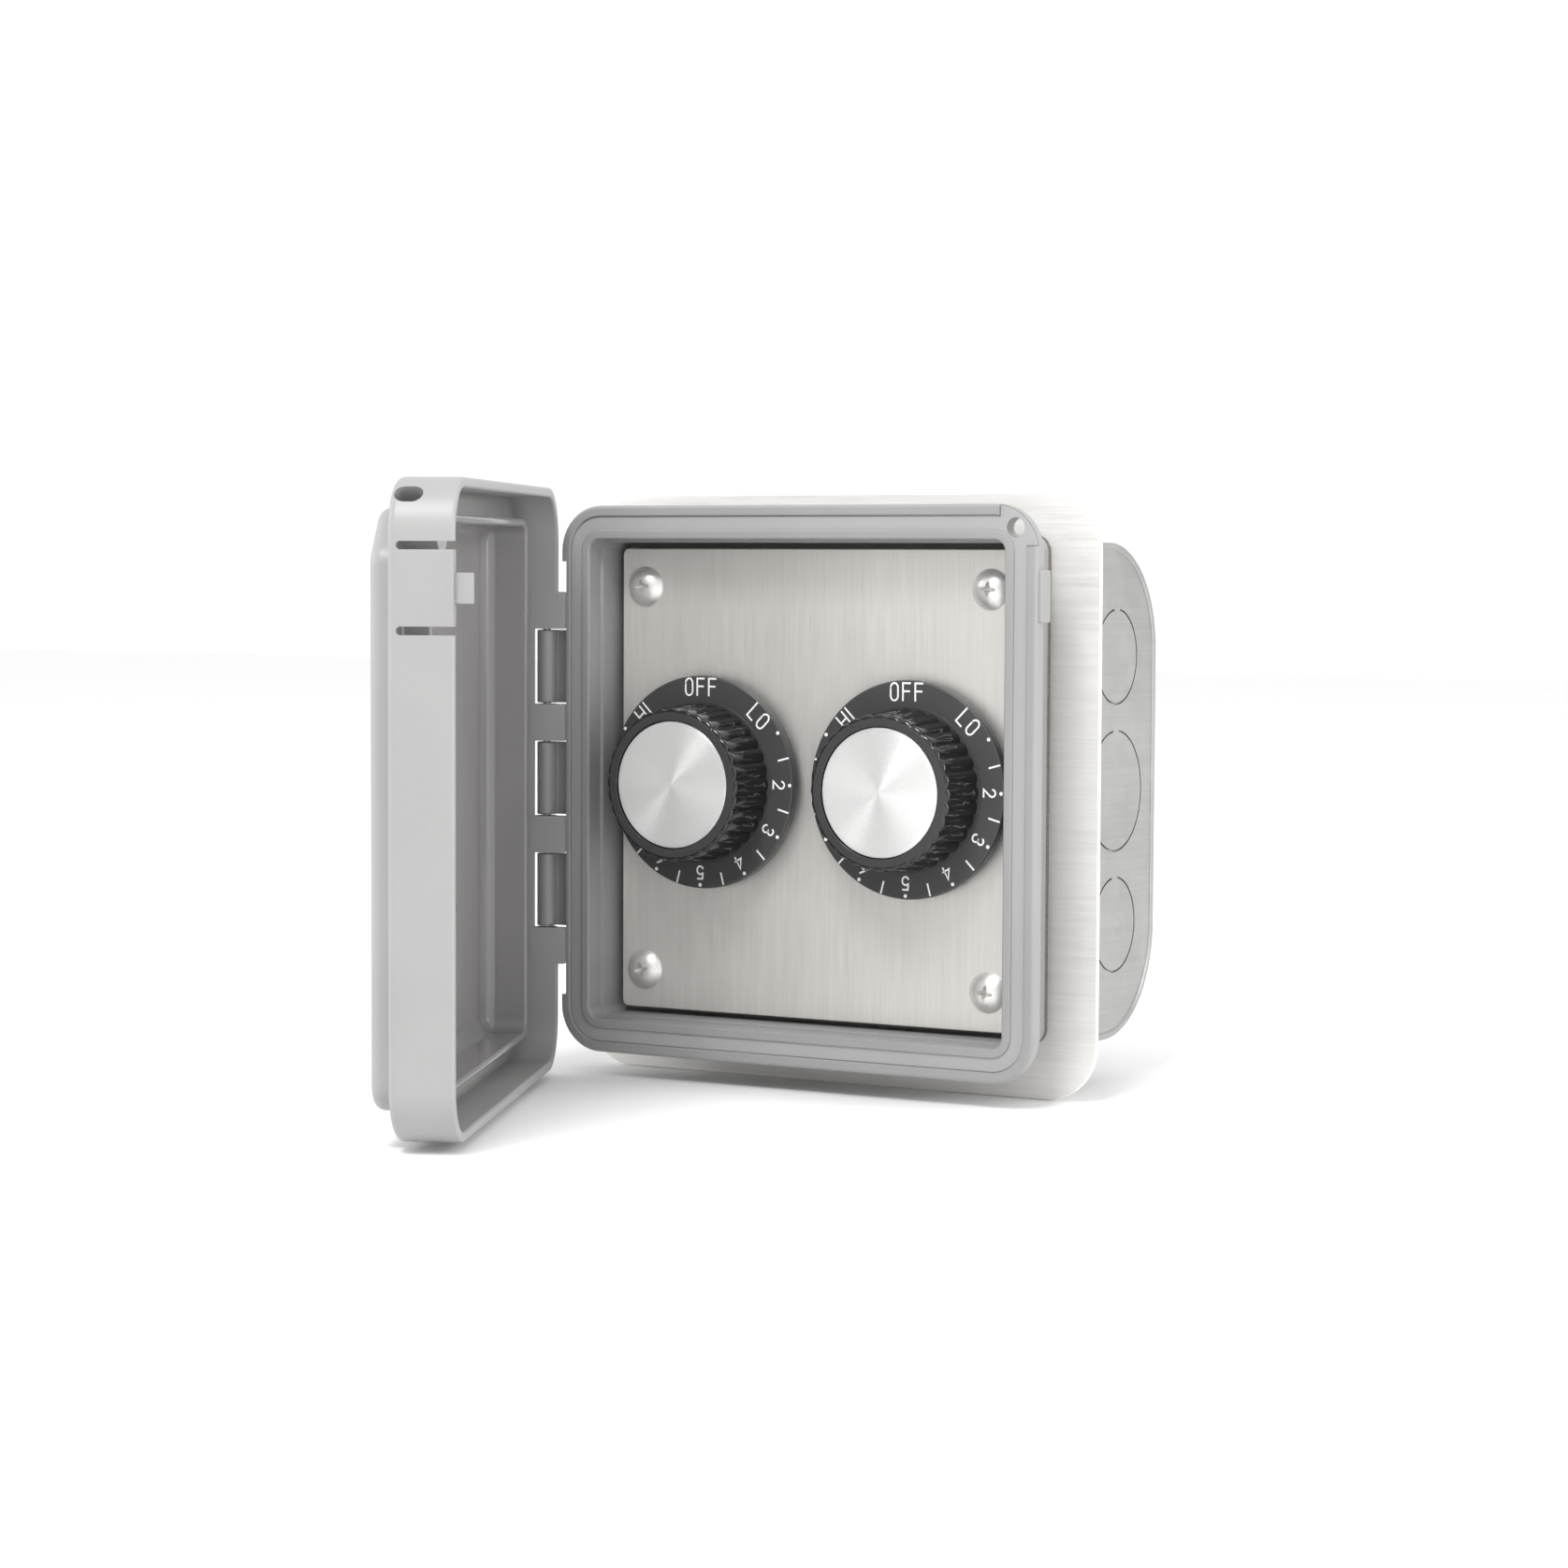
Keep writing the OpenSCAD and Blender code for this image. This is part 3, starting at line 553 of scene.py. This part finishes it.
def cover_bosses():
    """Four bosses that carry the faceplate, each with its screw hole."""
    shapes = []
    for x in (-SCREW_X, SCREW_X):
        for z in (LIFT - SCREW_Z, LIFT + SCREW_Z):
            wall = soften([
                (BOSS_R, SEAT - FLOOR_T + 0.5, 0), (BOSS_R, FACE_BACK, 0.4),
                (SCREW_HOLE_R, FACE_BACK, 0.2), (SCREW_HOLE_R, SEAT - FLOOR_T + 0.5, 0),
            ])
            shapes.append(lathe(x, z, wall, 40, closed=True))
    piece = solid("cover_bosses", together(*shapes), COVER_GREY)
    return finish_piece(piece, "housing")


cover_frame()
cover_knuckles()
cover_catch()
cover_bosses()


# ---- Lid ----


def lid_bezel():
    corners = rectangle(LID_W, LID_H, LIFT)
    profile = soften(
        [
            (RING_IN + 6, 0, 0), (0, 0, 1.7), (0, LID_DEPTH, 0.6), (SKIN, LID_DEPTH, 0.6),
            (SKIN, SKIN, 1.6), (RING_IN + 6, SKIN, 0),
        ],
        closed=False,
        steps=6,
    )
    rings = [inset_ring(corners, LID_R, inset, LID_FACE + depth, 0.8) for inset, depth in profile]
    piece = solid("lid_bezel", loft(rings), LID_GREY)
    post = circle(LOCK_X, LOCK_Z + LIFT, POST_R)
    skin_outline = [(x, z) for x, _, z in inset_ring(corners, LID_R, SKIN / 2, 0)]
    post_piece = solid("post", prism(post, LID_FACE + 0.5, RIM - 0.6), LID_GREY)
    keep = solid("keep", prism(skin_outline, LID_FACE - 1, LID_RIM + 1))
    trim = post_piece.modifiers.new("trim", "BOOLEAN")
    trim.object, trim.operation, trim.solver = keep, "INTERSECT", "EXACT"
    join = piece.modifiers.new("join", "BOOLEAN")
    join.object, join.operation, join.solver = post_piece, "UNION", "EXACT"
    graph = bpy.context.evaluated_depsgraph_get()
    joined = bpy.data.meshes.new_from_object(piece.evaluated_get(graph))
    piece.modifiers.clear()
    piece.data = joined
    for spare in (post_piece, keep):
        bpy.data.objects.remove(spare)

    hole = [(x, z) for x, _, z in inset_ring(tub_corners(), TUB_R, RING_IN, 0)]
    left, right, rim = -LID_W / 2, LID_W / 2, LID_RIM + 1
    window = [
        (left - 1, LID_RIM - WINDOW_DEPTH), (left + SKIN + 0.9, LID_RIM - WINDOW_DEPTH),
        (left + SKIN + 0.9, rim), (left - 1, rim),
    ]
    root = LID_RIM - TONGUE_LEN
    gap = [(right - SKIN - 0.9, root - ROOT_GAP), (right + 1, root - ROOT_GAP), (right + 1, rim)]
    gap += [(right - SKIN - 0.9, rim)]
    latch = LIFT + LATCH_Z
    cutters = [
        prism(hole, LID_FACE - 1, LID_FACE + SKIN + 1),
        *(
            prism(
                window, LIFT + (i + 0.5) * STRAP_PITCH + STRAP_W / 2, LIFT + (i + 1.5) * STRAP_PITCH - STRAP_W / 2, "Z"
            )
            for i in (-2, -1, 0)
        ),
        prism(gap, latch - TONGUE_W / 2, latch + TONGUE_W / 2, "Z"),
        prism(circle(LOCK_X, LOCK_Z + LIFT, LOCK_R, 32), LID_FACE - 1, rim),
    ]
    for side in (-1, 1):
        middle = latch + side * (TONGUE_W + SLIT_W) / 2
        slit = [
            (root + SLIT_W / 2 * math.cos(a), middle + SLIT_W / 2 * math.sin(a))
            for a in (math.radians(90 + 180 * i / 12) for i in range(13))
        ]
        slit += [(rim, middle - SLIT_W / 2), (rim, middle + SLIT_W / 2)]
        cutters.append(prism(slit, right - SKIN - 0.9, right + 1, "X"))
    cutters.append(lock_slot())
    carve(piece, cutters)
    swing_open(piece)
    return finish_piece(piece, "lid", ["lid_frame"], 0.22, 2)


def tub_corners():
    """Outline that the lid's tub is inset from, cut off beside the padlock post."""
    cut = ((LOCK_X + LOCK_Z) / math.sqrt(2) - LOCK_CLEAR + RING_IN) * math.sqrt(2)
    return cut_rectangle(LID_W, LID_H, cut, LIFT)


def lock_slot():
    """Slot for the padlock's shackle, from the corner of the lid inwards to the hole."""
    first = LID_FACE + SLOT_FROM_FACE + SLOT_W / 2
    last = first + SLOT_LEN - SLOT_W
    ends = [(last, 90), (first, 270)]
    outline = [
        (centre + SLOT_W / 2 * math.sin(a), SLOT_W / 2 * math.cos(a))
        for centre, start in ends
        for a in (math.radians(start - 90 + 180 * i / 10) for i in range(11))
    ]
    points, faces = prism(outline, 0, 14, "X")
    turn = Matrix.Translation((LOCK_X, 0, LOCK_Z + LIFT)) @ Matrix.Rotation(math.radians(-45), 4, "Y")
    return [tuple(turn @ Vector(p)) for p in points], faces


def lid_straps():
    """Four straps that carry the lid's knuckles."""
    shapes = []
    outer, inner = -LID_W / 2 - PROUD, -LID_W / 2 + SKIN + PROUD
    reach = math.degrees(math.acos((outer - HINGE_X) / KNUCKLE_R))
    for index in (-1.5, -0.5, 0.5, 1.5):
        low = LIFT + index * STRAP_PITCH - STRAP_W / 2
        outline = [(inner, LID_RIM - WINDOW_DEPTH - 1), (inner, LID_RIM + STRAP_PAST), (outer, LID_RIM + STRAP_PAST)]
        outline += [
            (HINGE_X + KNUCKLE_R * math.cos(a), HINGE_Y + KNUCKLE_R * math.sin(a))
            for a in (math.radians(reach + (360 - 2 * reach) * i / 32) for i in range(33))
        ]
        outline.append((outer, LID_RIM - WINDOW_DEPTH - 1))
        shapes.append(prism(outline, low, low + STRAP_W, "Z"))
    piece = solid("lid_straps", together(*shapes), LID_GREY)
    swing_open(piece)
    return finish_piece(piece, "lid", (), 0.25, 3)


def lid_tub():
    """The domed middle of the lid: a glossy tub with a ring that stands inside the skirt; the inside's darker grey is
    painted shade.
    """
    front = -DOME_OUT
    inner = RING_IN + RING_T
    ring_end = LID_DEPTH - RING_DOWN
    profile = soften(
        [
            (inner + 30, front, 0), (DOME_IN, front, 2.6), (DOME_IN, 0, 0.2), (RING_IN, 0.02, 0.1),
            (RING_IN, ring_end, 0.7), (inner, ring_end, 0.7), (inner, front + SKIN, 3.4), (inner + 30, front + SKIN, 0),
        ],
        closed=False,
        steps=8,
    )
    rings = [inset_ring(tub_corners(), TUB_R, inset, LID_FACE + depth, 0.8) for inset, depth in profile]
    piece = solid("lid_tub", loft(rings), LID_GREY)
    piece.data.materials.append(TUB_GLOSS_SHADED)
    # The tub's inside faces take the glossy grey that is darkened as painted shade.
    rim_ring = max(range(len(profile)), key=lambda k: profile[k][1])
    inside = range((rim_ring - 4) * len(rings[0]), (len(rings) - 1) * len(rings[0]))
    for face in piece.data.polygons:
        if face.index in inside or face.index == len(piece.data.polygons) - 1:
            face.material_index = 1
    swing_open(piece)
    return finish_piece(piece, "lid", ["lid_dome"])


def latch_tab():
    """Springy tongue with a thumb ramp, and the hook behind it."""
    outer = LID_W / 2
    inner = outer - SKIN
    root, middle = LID_RIM - TONGUE_LEN - ROOT_GAP - 0.5, LIFT + LATCH_Z
    tongue = [
        (inner - PROUD, root), (outer + PROUD, root), (outer + PROUD, LID_RIM - RAMP_LEN),
        (outer + RAMP_OUT, LID_RIM - 0.3), (outer + RAMP_OUT, LID_RIM), (inner - PROUD, LID_RIM),
    ]
    barb = LID_RIM + HOOK_LEN - BARB_LEN
    hook = [
        (inner, LID_RIM - 0.6), (inner + HOOK_T, LID_RIM - 0.6), (inner + HOOK_T, LID_RIM + HOOK_LEN),
        (inner, LID_RIM + HOOK_LEN), (inner - BARB_IN, barb), (inner, barb - 0.2),
    ]
    shape = together(
        prism(tongue, middle - TONGUE_W / 2, middle + TONGUE_W / 2, "Z"),
        prism(hook, middle - HOOK_W / 2, middle + HOOK_W / 2, "Z"),
    )
    piece = solid("latch_tab", shape, LID_GREY)
    swing_open(piece)
    return finish_piece(piece, "latch", ["latch_tongue"], 0.22, 3)


lid_bezel()
lid_straps()
lid_tub()
latch_tab()


# ---- Plates and screws ----


def rounded_plate(name, corners, radius, front, back, material, node, holes, edge, tangent_axis):
    rings = [
        inset_ring(corners, radius, inset, depth, 0.2)
        for inset, depth in soften([(8, front, 0), (0, front, edge), (0, back, edge), (8, back, 0)], False, 3)
    ]
    piece = carve(solid(name, loft(rings), material), [prism(hole, front - 1, back + 1) for hole in holes])
    grain_map(piece, tangent_axis)
    return finish_piece(piece, "housing", [node])


def trim_plate():
    low, high = box_mm("wall_plate")
    corners = rectangle(high.x - low.x, high.z - low.z)
    opening = [(x, z) for x, _, z in inset_ring(rectangle(OPENING_W, OPENING_H, LIFT), OPENING_R, 0, 0)]
    return rounded_plate(
        "trim_plate", corners, 12.7, low.y, high.y, TRIM_STEEL, "wall_plate", [opening], 0.3, 2
    )


def front_plate():
    low, high = box_mm("faceplate")
    corners = rectangle(high.x - low.x, high.z - low.z, LIFT)
    holes = [circle(x, LIFT, 4.86) for x in (-KNOB_X, KNOB_X)]
    return rounded_plate(
        "front_plate", corners, 1.5, low.y, high.y, PLATE_STEEL, "faceplate", holes, 0.25, 0
    )


def face_screw(name, x, z, turn):
    """Truss-head screw: low dome with a thin rolled edge and a tapered cross recess."""
    head_r, head_h = 4.75, 2.3
    ball = (head_r**2 + head_h**2) / (2 * head_h)
    dome = [(0.02, FACE - head_h)]
    for step in range(1, 15):
        radius = (head_r - 0.12) * step / 14
        dome.append((radius, FACE - head_h + ball - math.sqrt(ball**2 - radius**2)))
    low, high = box_mm("faceplate_screws")
    profile = dome + [(head_r, FACE - 0.12), (head_r - 0.05, FACE), (1.85, FACE + 0.02), (1.85, high.y), (0.02, high.y)]
    piece = solid(name, lathe(x, z, profile, 72), SCREW_STEEL)
    rings = []
    for depth, reach, root in (
        (FACE - head_h - 0.5, 2.15, 0.62), (FACE - head_h + 0.9, 1.6, 0.5), (FACE - 0.2, 0.5, 0.2)
    ):
        ring = []
        for quarter in range(4):
            for a, b in ((root, -root), (reach, -0.24), (reach, 0.24)):
                spoke = Matrix.Rotation(math.radians(90 * quarter + turn), 2) @ Vector((a, b))
                ring.append((x + spoke.x, depth, z + spoke.y))
        rings.append(ring)
    carve(piece, [loft(rings)])
    return finish_piece(piece, "housing", ["faceplate_screws"])


trim_plate()
front_plate()
face_screw("screw_top_left", -SCREW_X, LIFT + SCREW_Z, 8)
face_screw("screw_top_right", SCREW_X, LIFT + SCREW_Z, -4)
face_screw("screw_bottom_left", -SCREW_X, LIFT - SCREW_Z, 12)
face_screw("screw_bottom_right", SCREW_X, LIFT - SCREW_Z, -8)


# ---- Dials ----


def dial_skirt(side, x, body):
    """Flat disc that carries the marks, with a narrow rounded edge."""
    profile = soften(
        [
            (16.2, SKIRT_FRONT, 0), (SKIRT_R, SKIRT_FRONT, 0.55), (SKIRT_R, SKIRT_BACK, 0.45), (14, SKIRT_BACK, 0.3),
            (14, SKIRT_BACK - 7, 0.3), (6.2, SKIRT_BACK - 7, 0.3), (6.2, SKIRT_BACK - 2.1, 0.3),
            (3.2, SKIRT_BACK - 2.1, 0.2), (3.2, SKIRT_BACK - 8.5, 0), (16.2, SKIRT_BACK - 8.5, 0),
        ],
    )
    piece = solid(f"dial_skirt_{side}", lathe(x, LIFT, profile, 128, closed=True), SKIRT_BLACK)
    return finish_piece(piece, body, [f"knob_{side}"])


def dial_grip(side, x, body):
    """Fluted grip: ridges that swell towards the skirt and die away in the rounded front edge."""
    per_flute = 10
    steps = FLUTES * per_flute
    height = SKIRT_FRONT - GRIP_FRONT
    sections = []
    for k in range(15):
        share = k / 14
        depth = SKIRT_FRONT - 0.05 - share * (height - 0.9)
        sections.append((GRIP_R_BACK + (GRIP_R_FRONT - GRIP_R_BACK) * share, depth, 1.0))
    for k in range(1, 7):
        angle = math.radians(15 * k)
        sections.append((
            GRIP_R_FRONT - 0.9 * (1 - math.cos(angle)),
            GRIP_FRONT + 0.85 - 0.85 * math.sin(angle),
            1.0 - 0.75 * k / 6,
        ))
    rings = []
    for radius, depth, share in sections:
        ring = []
        for i in range(steps):
            angle = math.tau * i / steps
            ridge = abs(math.cos(FLUTES * angle / 2)) ** 0.8
            reach = radius - FLUTE_DEPTH * share * (1 - ridge)
            ring.append((x + reach * math.sin(angle), depth, LIFT + reach * math.cos(angle)))
        rings.append(ring)
    for radius, depth in (
        (CAP_R + 0.3, GRIP_FRONT), (CAP_R + 0.22, GRIP_FRONT + 0.12), (CAP_R + 0.22, GRIP_FRONT + 0.7)
    ):
        rings.append([
            (x + radius * math.sin(math.tau * i / steps), depth, LIFT + radius * math.cos(math.tau * i / steps))
            for i in range(steps)
        ])
    piece = solid(f"dial_grip_{side}", loft(rings), GRIP_BLACK)
    return finish_piece(piece, body)


def dial_ring(side, x, body):
    """Satin land round the cap and the thin bright line where the grip meets the skirt."""
    land = soften([
        (CAP_R + 0.35, GRIP_FRONT + 0.3, 0), (CAP_R + 0.35, GRIP_FRONT - 0.05, 0.1),
        (GRIP_R_FRONT - 0.95, GRIP_FRONT - 0.05, 0.1), (GRIP_R_FRONT - 0.95, GRIP_FRONT + 0.3, 0),
    ])
    foot = soften([
        (17.2, SKIRT_FRONT + 0.2, 0), (17.2, SKIRT_FRONT - 0.22, 0), (18.75, SKIRT_FRONT - 0.22, 0.1),
        (18.95, SKIRT_FRONT + 0.2, 0),
    ])
    shape = together(lathe(x, LIFT, land, 96, closed=True), lathe(x, LIFT, foot, 96, closed=True))
    piece = solid(f"dial_ring_{side}", shape, RING_BLACK)
    return finish_piece(piece, body)


def dial_cap(side, x, body):
    """Spun metal cap: a very flat cone with a turned edge."""
    rise = 0.55
    face = [(max(CAP_R * k / 20, 0.02), CAP_FRONT + rise * k / 20) for k in range(20)]
    rim = CAP_FRONT + rise
    edge = soften([(CAP_R * 0.96, rim, 0), (CAP_R, rim + 0.02, 0.16), (CAP_R, rim + 0.7, 0)], False, 4)
    profile = face + [tuple(p) for p in edge] + [(0.02, rim + 0.7)]
    piece = solid(f"dial_cap_{side}", lathe(x, LIFT, profile, 128), CAP_METAL)
    return finish_piece(piece, body, [f"knob_cap_{side}"])


# ---- Marks on the dials: single strokes, in units of the letter's height ----


def arc(cx, cy, rx, ry, start, end, steps=14):
    turns = [math.radians(start + (end - start) * i / steps) for i in range(steps + 1)]
    return [(cx + rx * math.sin(t), cy + ry * math.cos(t)) for t in turns]


GLYPHS = {
    "O": [arc(0.24, 0.72, 0.24, 0.28, -90, 90) + arc(0.24, 0.28, 0.24, 0.28, 90, 270) + [(0, 0.72)]],
    "F": [[(0, 0), (0, 1), (0.48, 1)], [(0, 0.54), (0.42, 0.54)]],
    "L": [[(0, 1), (0, 0), (0.46, 0)]],
    "H": [[(0, 0), (0, 1)], [(0.5, 0), (0.5, 1)], [(0, 0.52), (0.5, 0.52)]],
    "I": [[(0, 0), (0, 1)]],
    "2": [arc(0.28, 0.72, 0.28, 0.28, -80, 130) + [(0.0, 0.0), (0.58, 0.0)]],
    "3": [arc(0.26, 0.76, 0.26, 0.24, -75, 180) + arc(0.26, 0.27, 0.30, 0.27, 5, 260)],
    "4": [[(0.45, 0), (0.45, 1), (0, 0.3), (0.62, 0.3)]],
    "5": [[(0.52, 1), (0.06, 1), (0.02, 0.55)] + arc(0.27, 0.32, 0.28, 0.32, -40, 245)],
    "6": [[(0.46, 1), (0.08, 0.5)] + arc(0.28, 0.3, 0.28, 0.3, -60, 300)],
    "7": [[(0, 1), (0.56, 1), (0.18, 0)]],
    "8": [arc(0.28, 0.76, 0.24, 0.24, 180, 540) + arc(0.28, 0.27, 0.28, 0.27, 0, 360)],
}
SPACING = 0.32
WORD_HEIGHT, WORD_RADIUS = 3.9, 20.0
DIGIT_HEIGHT, DIGIT_RADIUS = 2.9, 19.45
DOT_RADIUS, DOT_SIZE = 23.75, 0.42
TICK_FROM, TICK_TO = 21.5, 24.2
STROKE, INK = 0.40, 0.035


def stroke_band(points, width, height):
    """A flat raised line along points in the dial's plane, mitred at its bends."""
    points = [Vector(p) for p in points]
    rings = []
    for index, point in enumerate(points):
        before = (point - points[index - 1]).normalized() if index else None
        after = (points[index + 1] - point).normalized() if index + 1 < len(points) else None
        forward = ((before or after) + (after or before)).normalized()
        side = Vector((-forward.y, forward.x))
        spread = width / 2 / max(0.5, abs(side.dot(Vector((-(after or before).y, (after or before).x)))))
        if before is None:
            point = point - forward * width * 0.3
        if after is None:
            point = point + forward * width * 0.3
        a, b = point + side * spread, point - side * spread
        rings.append([(a.x, 0.02, a.y), (a.x, -height, a.y), (b.x, -height, b.y), (b.x, 0.02, b.y)])
    return loft(rings)


def dial_marks(side, x, body):
    """OFF, LO and HI with the numbers 2 to 8 between them, tops outwards, clockwise from the top."""
    shapes = []

    def place(strokes, width, height, radius, angle):
        turn = Matrix.Rotation(-math.radians(angle), 2)
        for order, stroke in enumerate(strokes):
            spots = [turn @ Vector(((a - width / 2) * height, radius + b * height)) for a, b in stroke]
            shapes.append(stroke_band(spots, STROKE, INK + 0.003 * order))

    def word(text, height, radius, angle):
        strokes, start = [], 0.0
        for letter in text:
            glyph = GLYPHS[letter]
            strokes += [[(a + start, b) for a, b in stroke] for stroke in glyph]
            start += max(a for stroke in glyph for a, _ in stroke) + SPACING
        place(strokes, start - SPACING, height, radius, angle)

    def dot(angle):
        spot = Matrix.Rotation(-math.radians(angle), 2) @ Vector((0, DOT_RADIUS))
        outline = circle(spot.x, spot.y, DOT_SIZE, 20)
        shapes.append(prism(outline, -INK - 0.01, 0.02))

    word("OFF", WORD_HEIGHT, WORD_RADIUS, 0)
    word("LO", WORD_HEIGHT, WORD_RADIUS, 45)
    word("HI", WORD_HEIGHT, WORD_RADIUS, 315)
    for number in range(2, 9):
        angle = 90 + 30 * (number - 2)
        word(str(number), DIGIT_HEIGHT, DIGIT_RADIUS, angle)
        dot(angle)
        place([[(0, 0), (0, 1)]], 0, TICK_TO - TICK_FROM, TICK_FROM, angle - 15)
    place([[(0, 0), (0, 1)]], 0, TICK_TO - TICK_FROM, TICK_FROM, 285)
    dot(60)
    dot(300)
    points, faces = together(*shapes)
    points = [(x + a, SKIRT_FRONT + depth, LIFT + b) for a, depth, b in points]
    piece = solid(f"dial_marks_{side}", (points, faces), MARK_WHITE)
    return finish_piece(piece, body)


for side, knob_x in (("left", -KNOB_X), ("right", KNOB_X)):
    body = f"{side}_control"
    dial_skirt(side, knob_x, body)
    dial_grip(side, knob_x, body)
    dial_ring(side, knob_x, body)
    dial_cap(side, knob_x, body)
    dial_marks(side, knob_x, body)


# ---- Box ----


def box_shell():
    """One bent sheet: top, round back corners, back, and bottom, with its fixing and earth holes."""
    half, steps = BOX / 2, 20
    path = [(MOUTH_Y, half, 0, 1)]
    for sign, start in ((1, 90), (-1, 0)):
        for step in range(steps + 1):
            a = math.radians(start - 90 * step / steps)
            path.append(
                (-BOX_R + BOX_R * math.cos(a), sign * (half - BOX_R) + BOX_R * math.sin(a), math.cos(a), math.sin(a))
            )
    path.append((MOUTH_Y, -half, 0, -1))
    edge = 0.35
    section = [
        (-half, edge), (-half + edge, 0), (half - edge, 0), (half, edge),
        (half, SHEET - edge), (half - edge, SHEET), (-half + edge, SHEET), (-half, SHEET - edge),
    ]
    rings = [[(x, y - inset * ny, z - inset * nz) for x, inset in section] for y, z, ny, nz in path]
    piece = solid("box_shell", loft(rings), BOX_ZINC)
    holes = [circle(x, z, FIXING_R, 32) for x in (-FIXING_X / 2, FIXING_X / 2) for z in (-FIXING_Z / 2, FIXING_Z / 2)]
    holes.append(circle(0, EARTH_Z, FIXING_R + 0.02, 32))
    carve(piece, [prism(hole, -SHEET - 1, 1) for hole in holes])
    return finish_piece(piece, "housing", ["box_wrap"])


box_shell()


# ---- CAD nodes that keep their shape ----

KEPT = {
    "box_side_left": BOX_ZINC, "box_side_right": BOX_ZINC, "box_ears": BOX_ZINC, "ground_screw": GREEN,
    "cover_gasket": FOAM, "rim_seal": SEAL_GREY, "hinge_pin": SCREW_STEEL, "bushing_nuts": BRASS, "lock_washers": ZINC,
}
for side in ("left", "right"):
    KEPT.update({
        f"switch_front_{side}": ZINC, f"switch_case_{side}": CASE_BROWN, f"switch_terminals_{side}": BRASS,
        f"contact_strip_{side}": BIMETAL, f"switch_shaft_{side}": ZINC, f"switch_cam_{side}": NYLON,
        f"knob_spring_{side}": ZINC,
    })
for node, material in KEPT.items():
    kept = frame["nodes"][node]
    kept.data.materials.clear()
    kept.data.materials.append(material)


# ---- Floor, light and camera ----


def stage_floor():
    floor = solid("floor", ([(-3000, -3000, 0), (3000, -3000, 0), (3000, 3000, 0), (-3000, 3000, 0)], [(0, 1, 2, 3)]))
    low = box_mm("wall_plate")[0]
    floor.location.z = (low.z - 0.1) * MM
    material, tree, shader = new_material("floor_white", (0.9, 0.9, 0.9), 0.6)
    soft = noise(tree, (6, 6, 6), 2.0)
    tree.links.new(shade(tree, (0.92, 0.92, 0.92), between(tree, soft, 0.99, 1.0)), shader.inputs["Base Color"])
    shader.inputs["Specular IOR Level"].default_value = 0.1
    floor.data.materials.append(material)


def softbox(name, place, target, width, height, power):
    light = bpy.data.lights.new(name, "AREA")
    light.shape = "RECTANGLE"
    light.size, light.size_y, light.energy = width, height, power
    lamp = bpy.data.objects.new(name, light)
    lamp.location = place
    lamp.rotation_euler = (Vector(target) - Vector(place)).to_track_quat("-Z", "Y").to_euler()
    bpy.context.scene.collection.objects.link(lamp)


def world_light(strength):
    world = bpy.data.worlds.new("studio")
    bpy.context.scene.world = world
    world.use_nodes = True
    background = world.node_tree.nodes["Background"]
    background.inputs["Color"].default_value = (1, 1, 1, 1)
    background.inputs["Strength"].default_value = strength


def aim_camera():
    """Looks at the middle of the cover's rim from the right and slightly above, with a hair of roll."""
    azimuth, elevation, roll = (math.radians(v) for v in (30.08, 3.38, 0.26))
    distance, aside, below = 841.5, 1.14, 1.25
    target = Vector((0, RIM, 1.0))
    back = Vector((
        math.sin(azimuth) * math.cos(elevation), -math.cos(azimuth) * math.cos(elevation), math.sin(elevation)
    ))
    right = Vector((math.cos(azimuth), math.sin(azimuth), 0))
    up = back.cross(right)
    tilt = Matrix.Rotation(roll, 3, back)
    right, up = tilt @ right, tilt @ up
    data = bpy.data.cameras.new("camera")
    data.lens, data.sensor_width = 85.58, 36
    data.clip_start, data.clip_end = 0.05, 20
    camera = bpy.data.objects.new("camera", data)
    place = (target + back * distance - right * aside + up * below) * MM
    turn = Matrix((right, up, back)).transposed().to_4x4()
    camera.matrix_world = Matrix.Translation(place) @ turn
    bpy.context.scene.collection.objects.link(camera)
    bpy.context.scene.camera = camera


stage_floor()
world_light(1.05)
softbox("key", (0.12, -0.95, 1.05), (0, -0.07, 0), 0.4, 0.4, 11)
softbox("left", (-1.35, -0.6, 0.5), (0, -0.07, 0), 0.7, 0.9, 5)
softbox("right", (1.4, 0.15, 0.45), (0, -0.07, 0), 0.7, 0.9, 10)
aim_camera()
bpy.context.scene.view_settings.view_transform = "Standard"
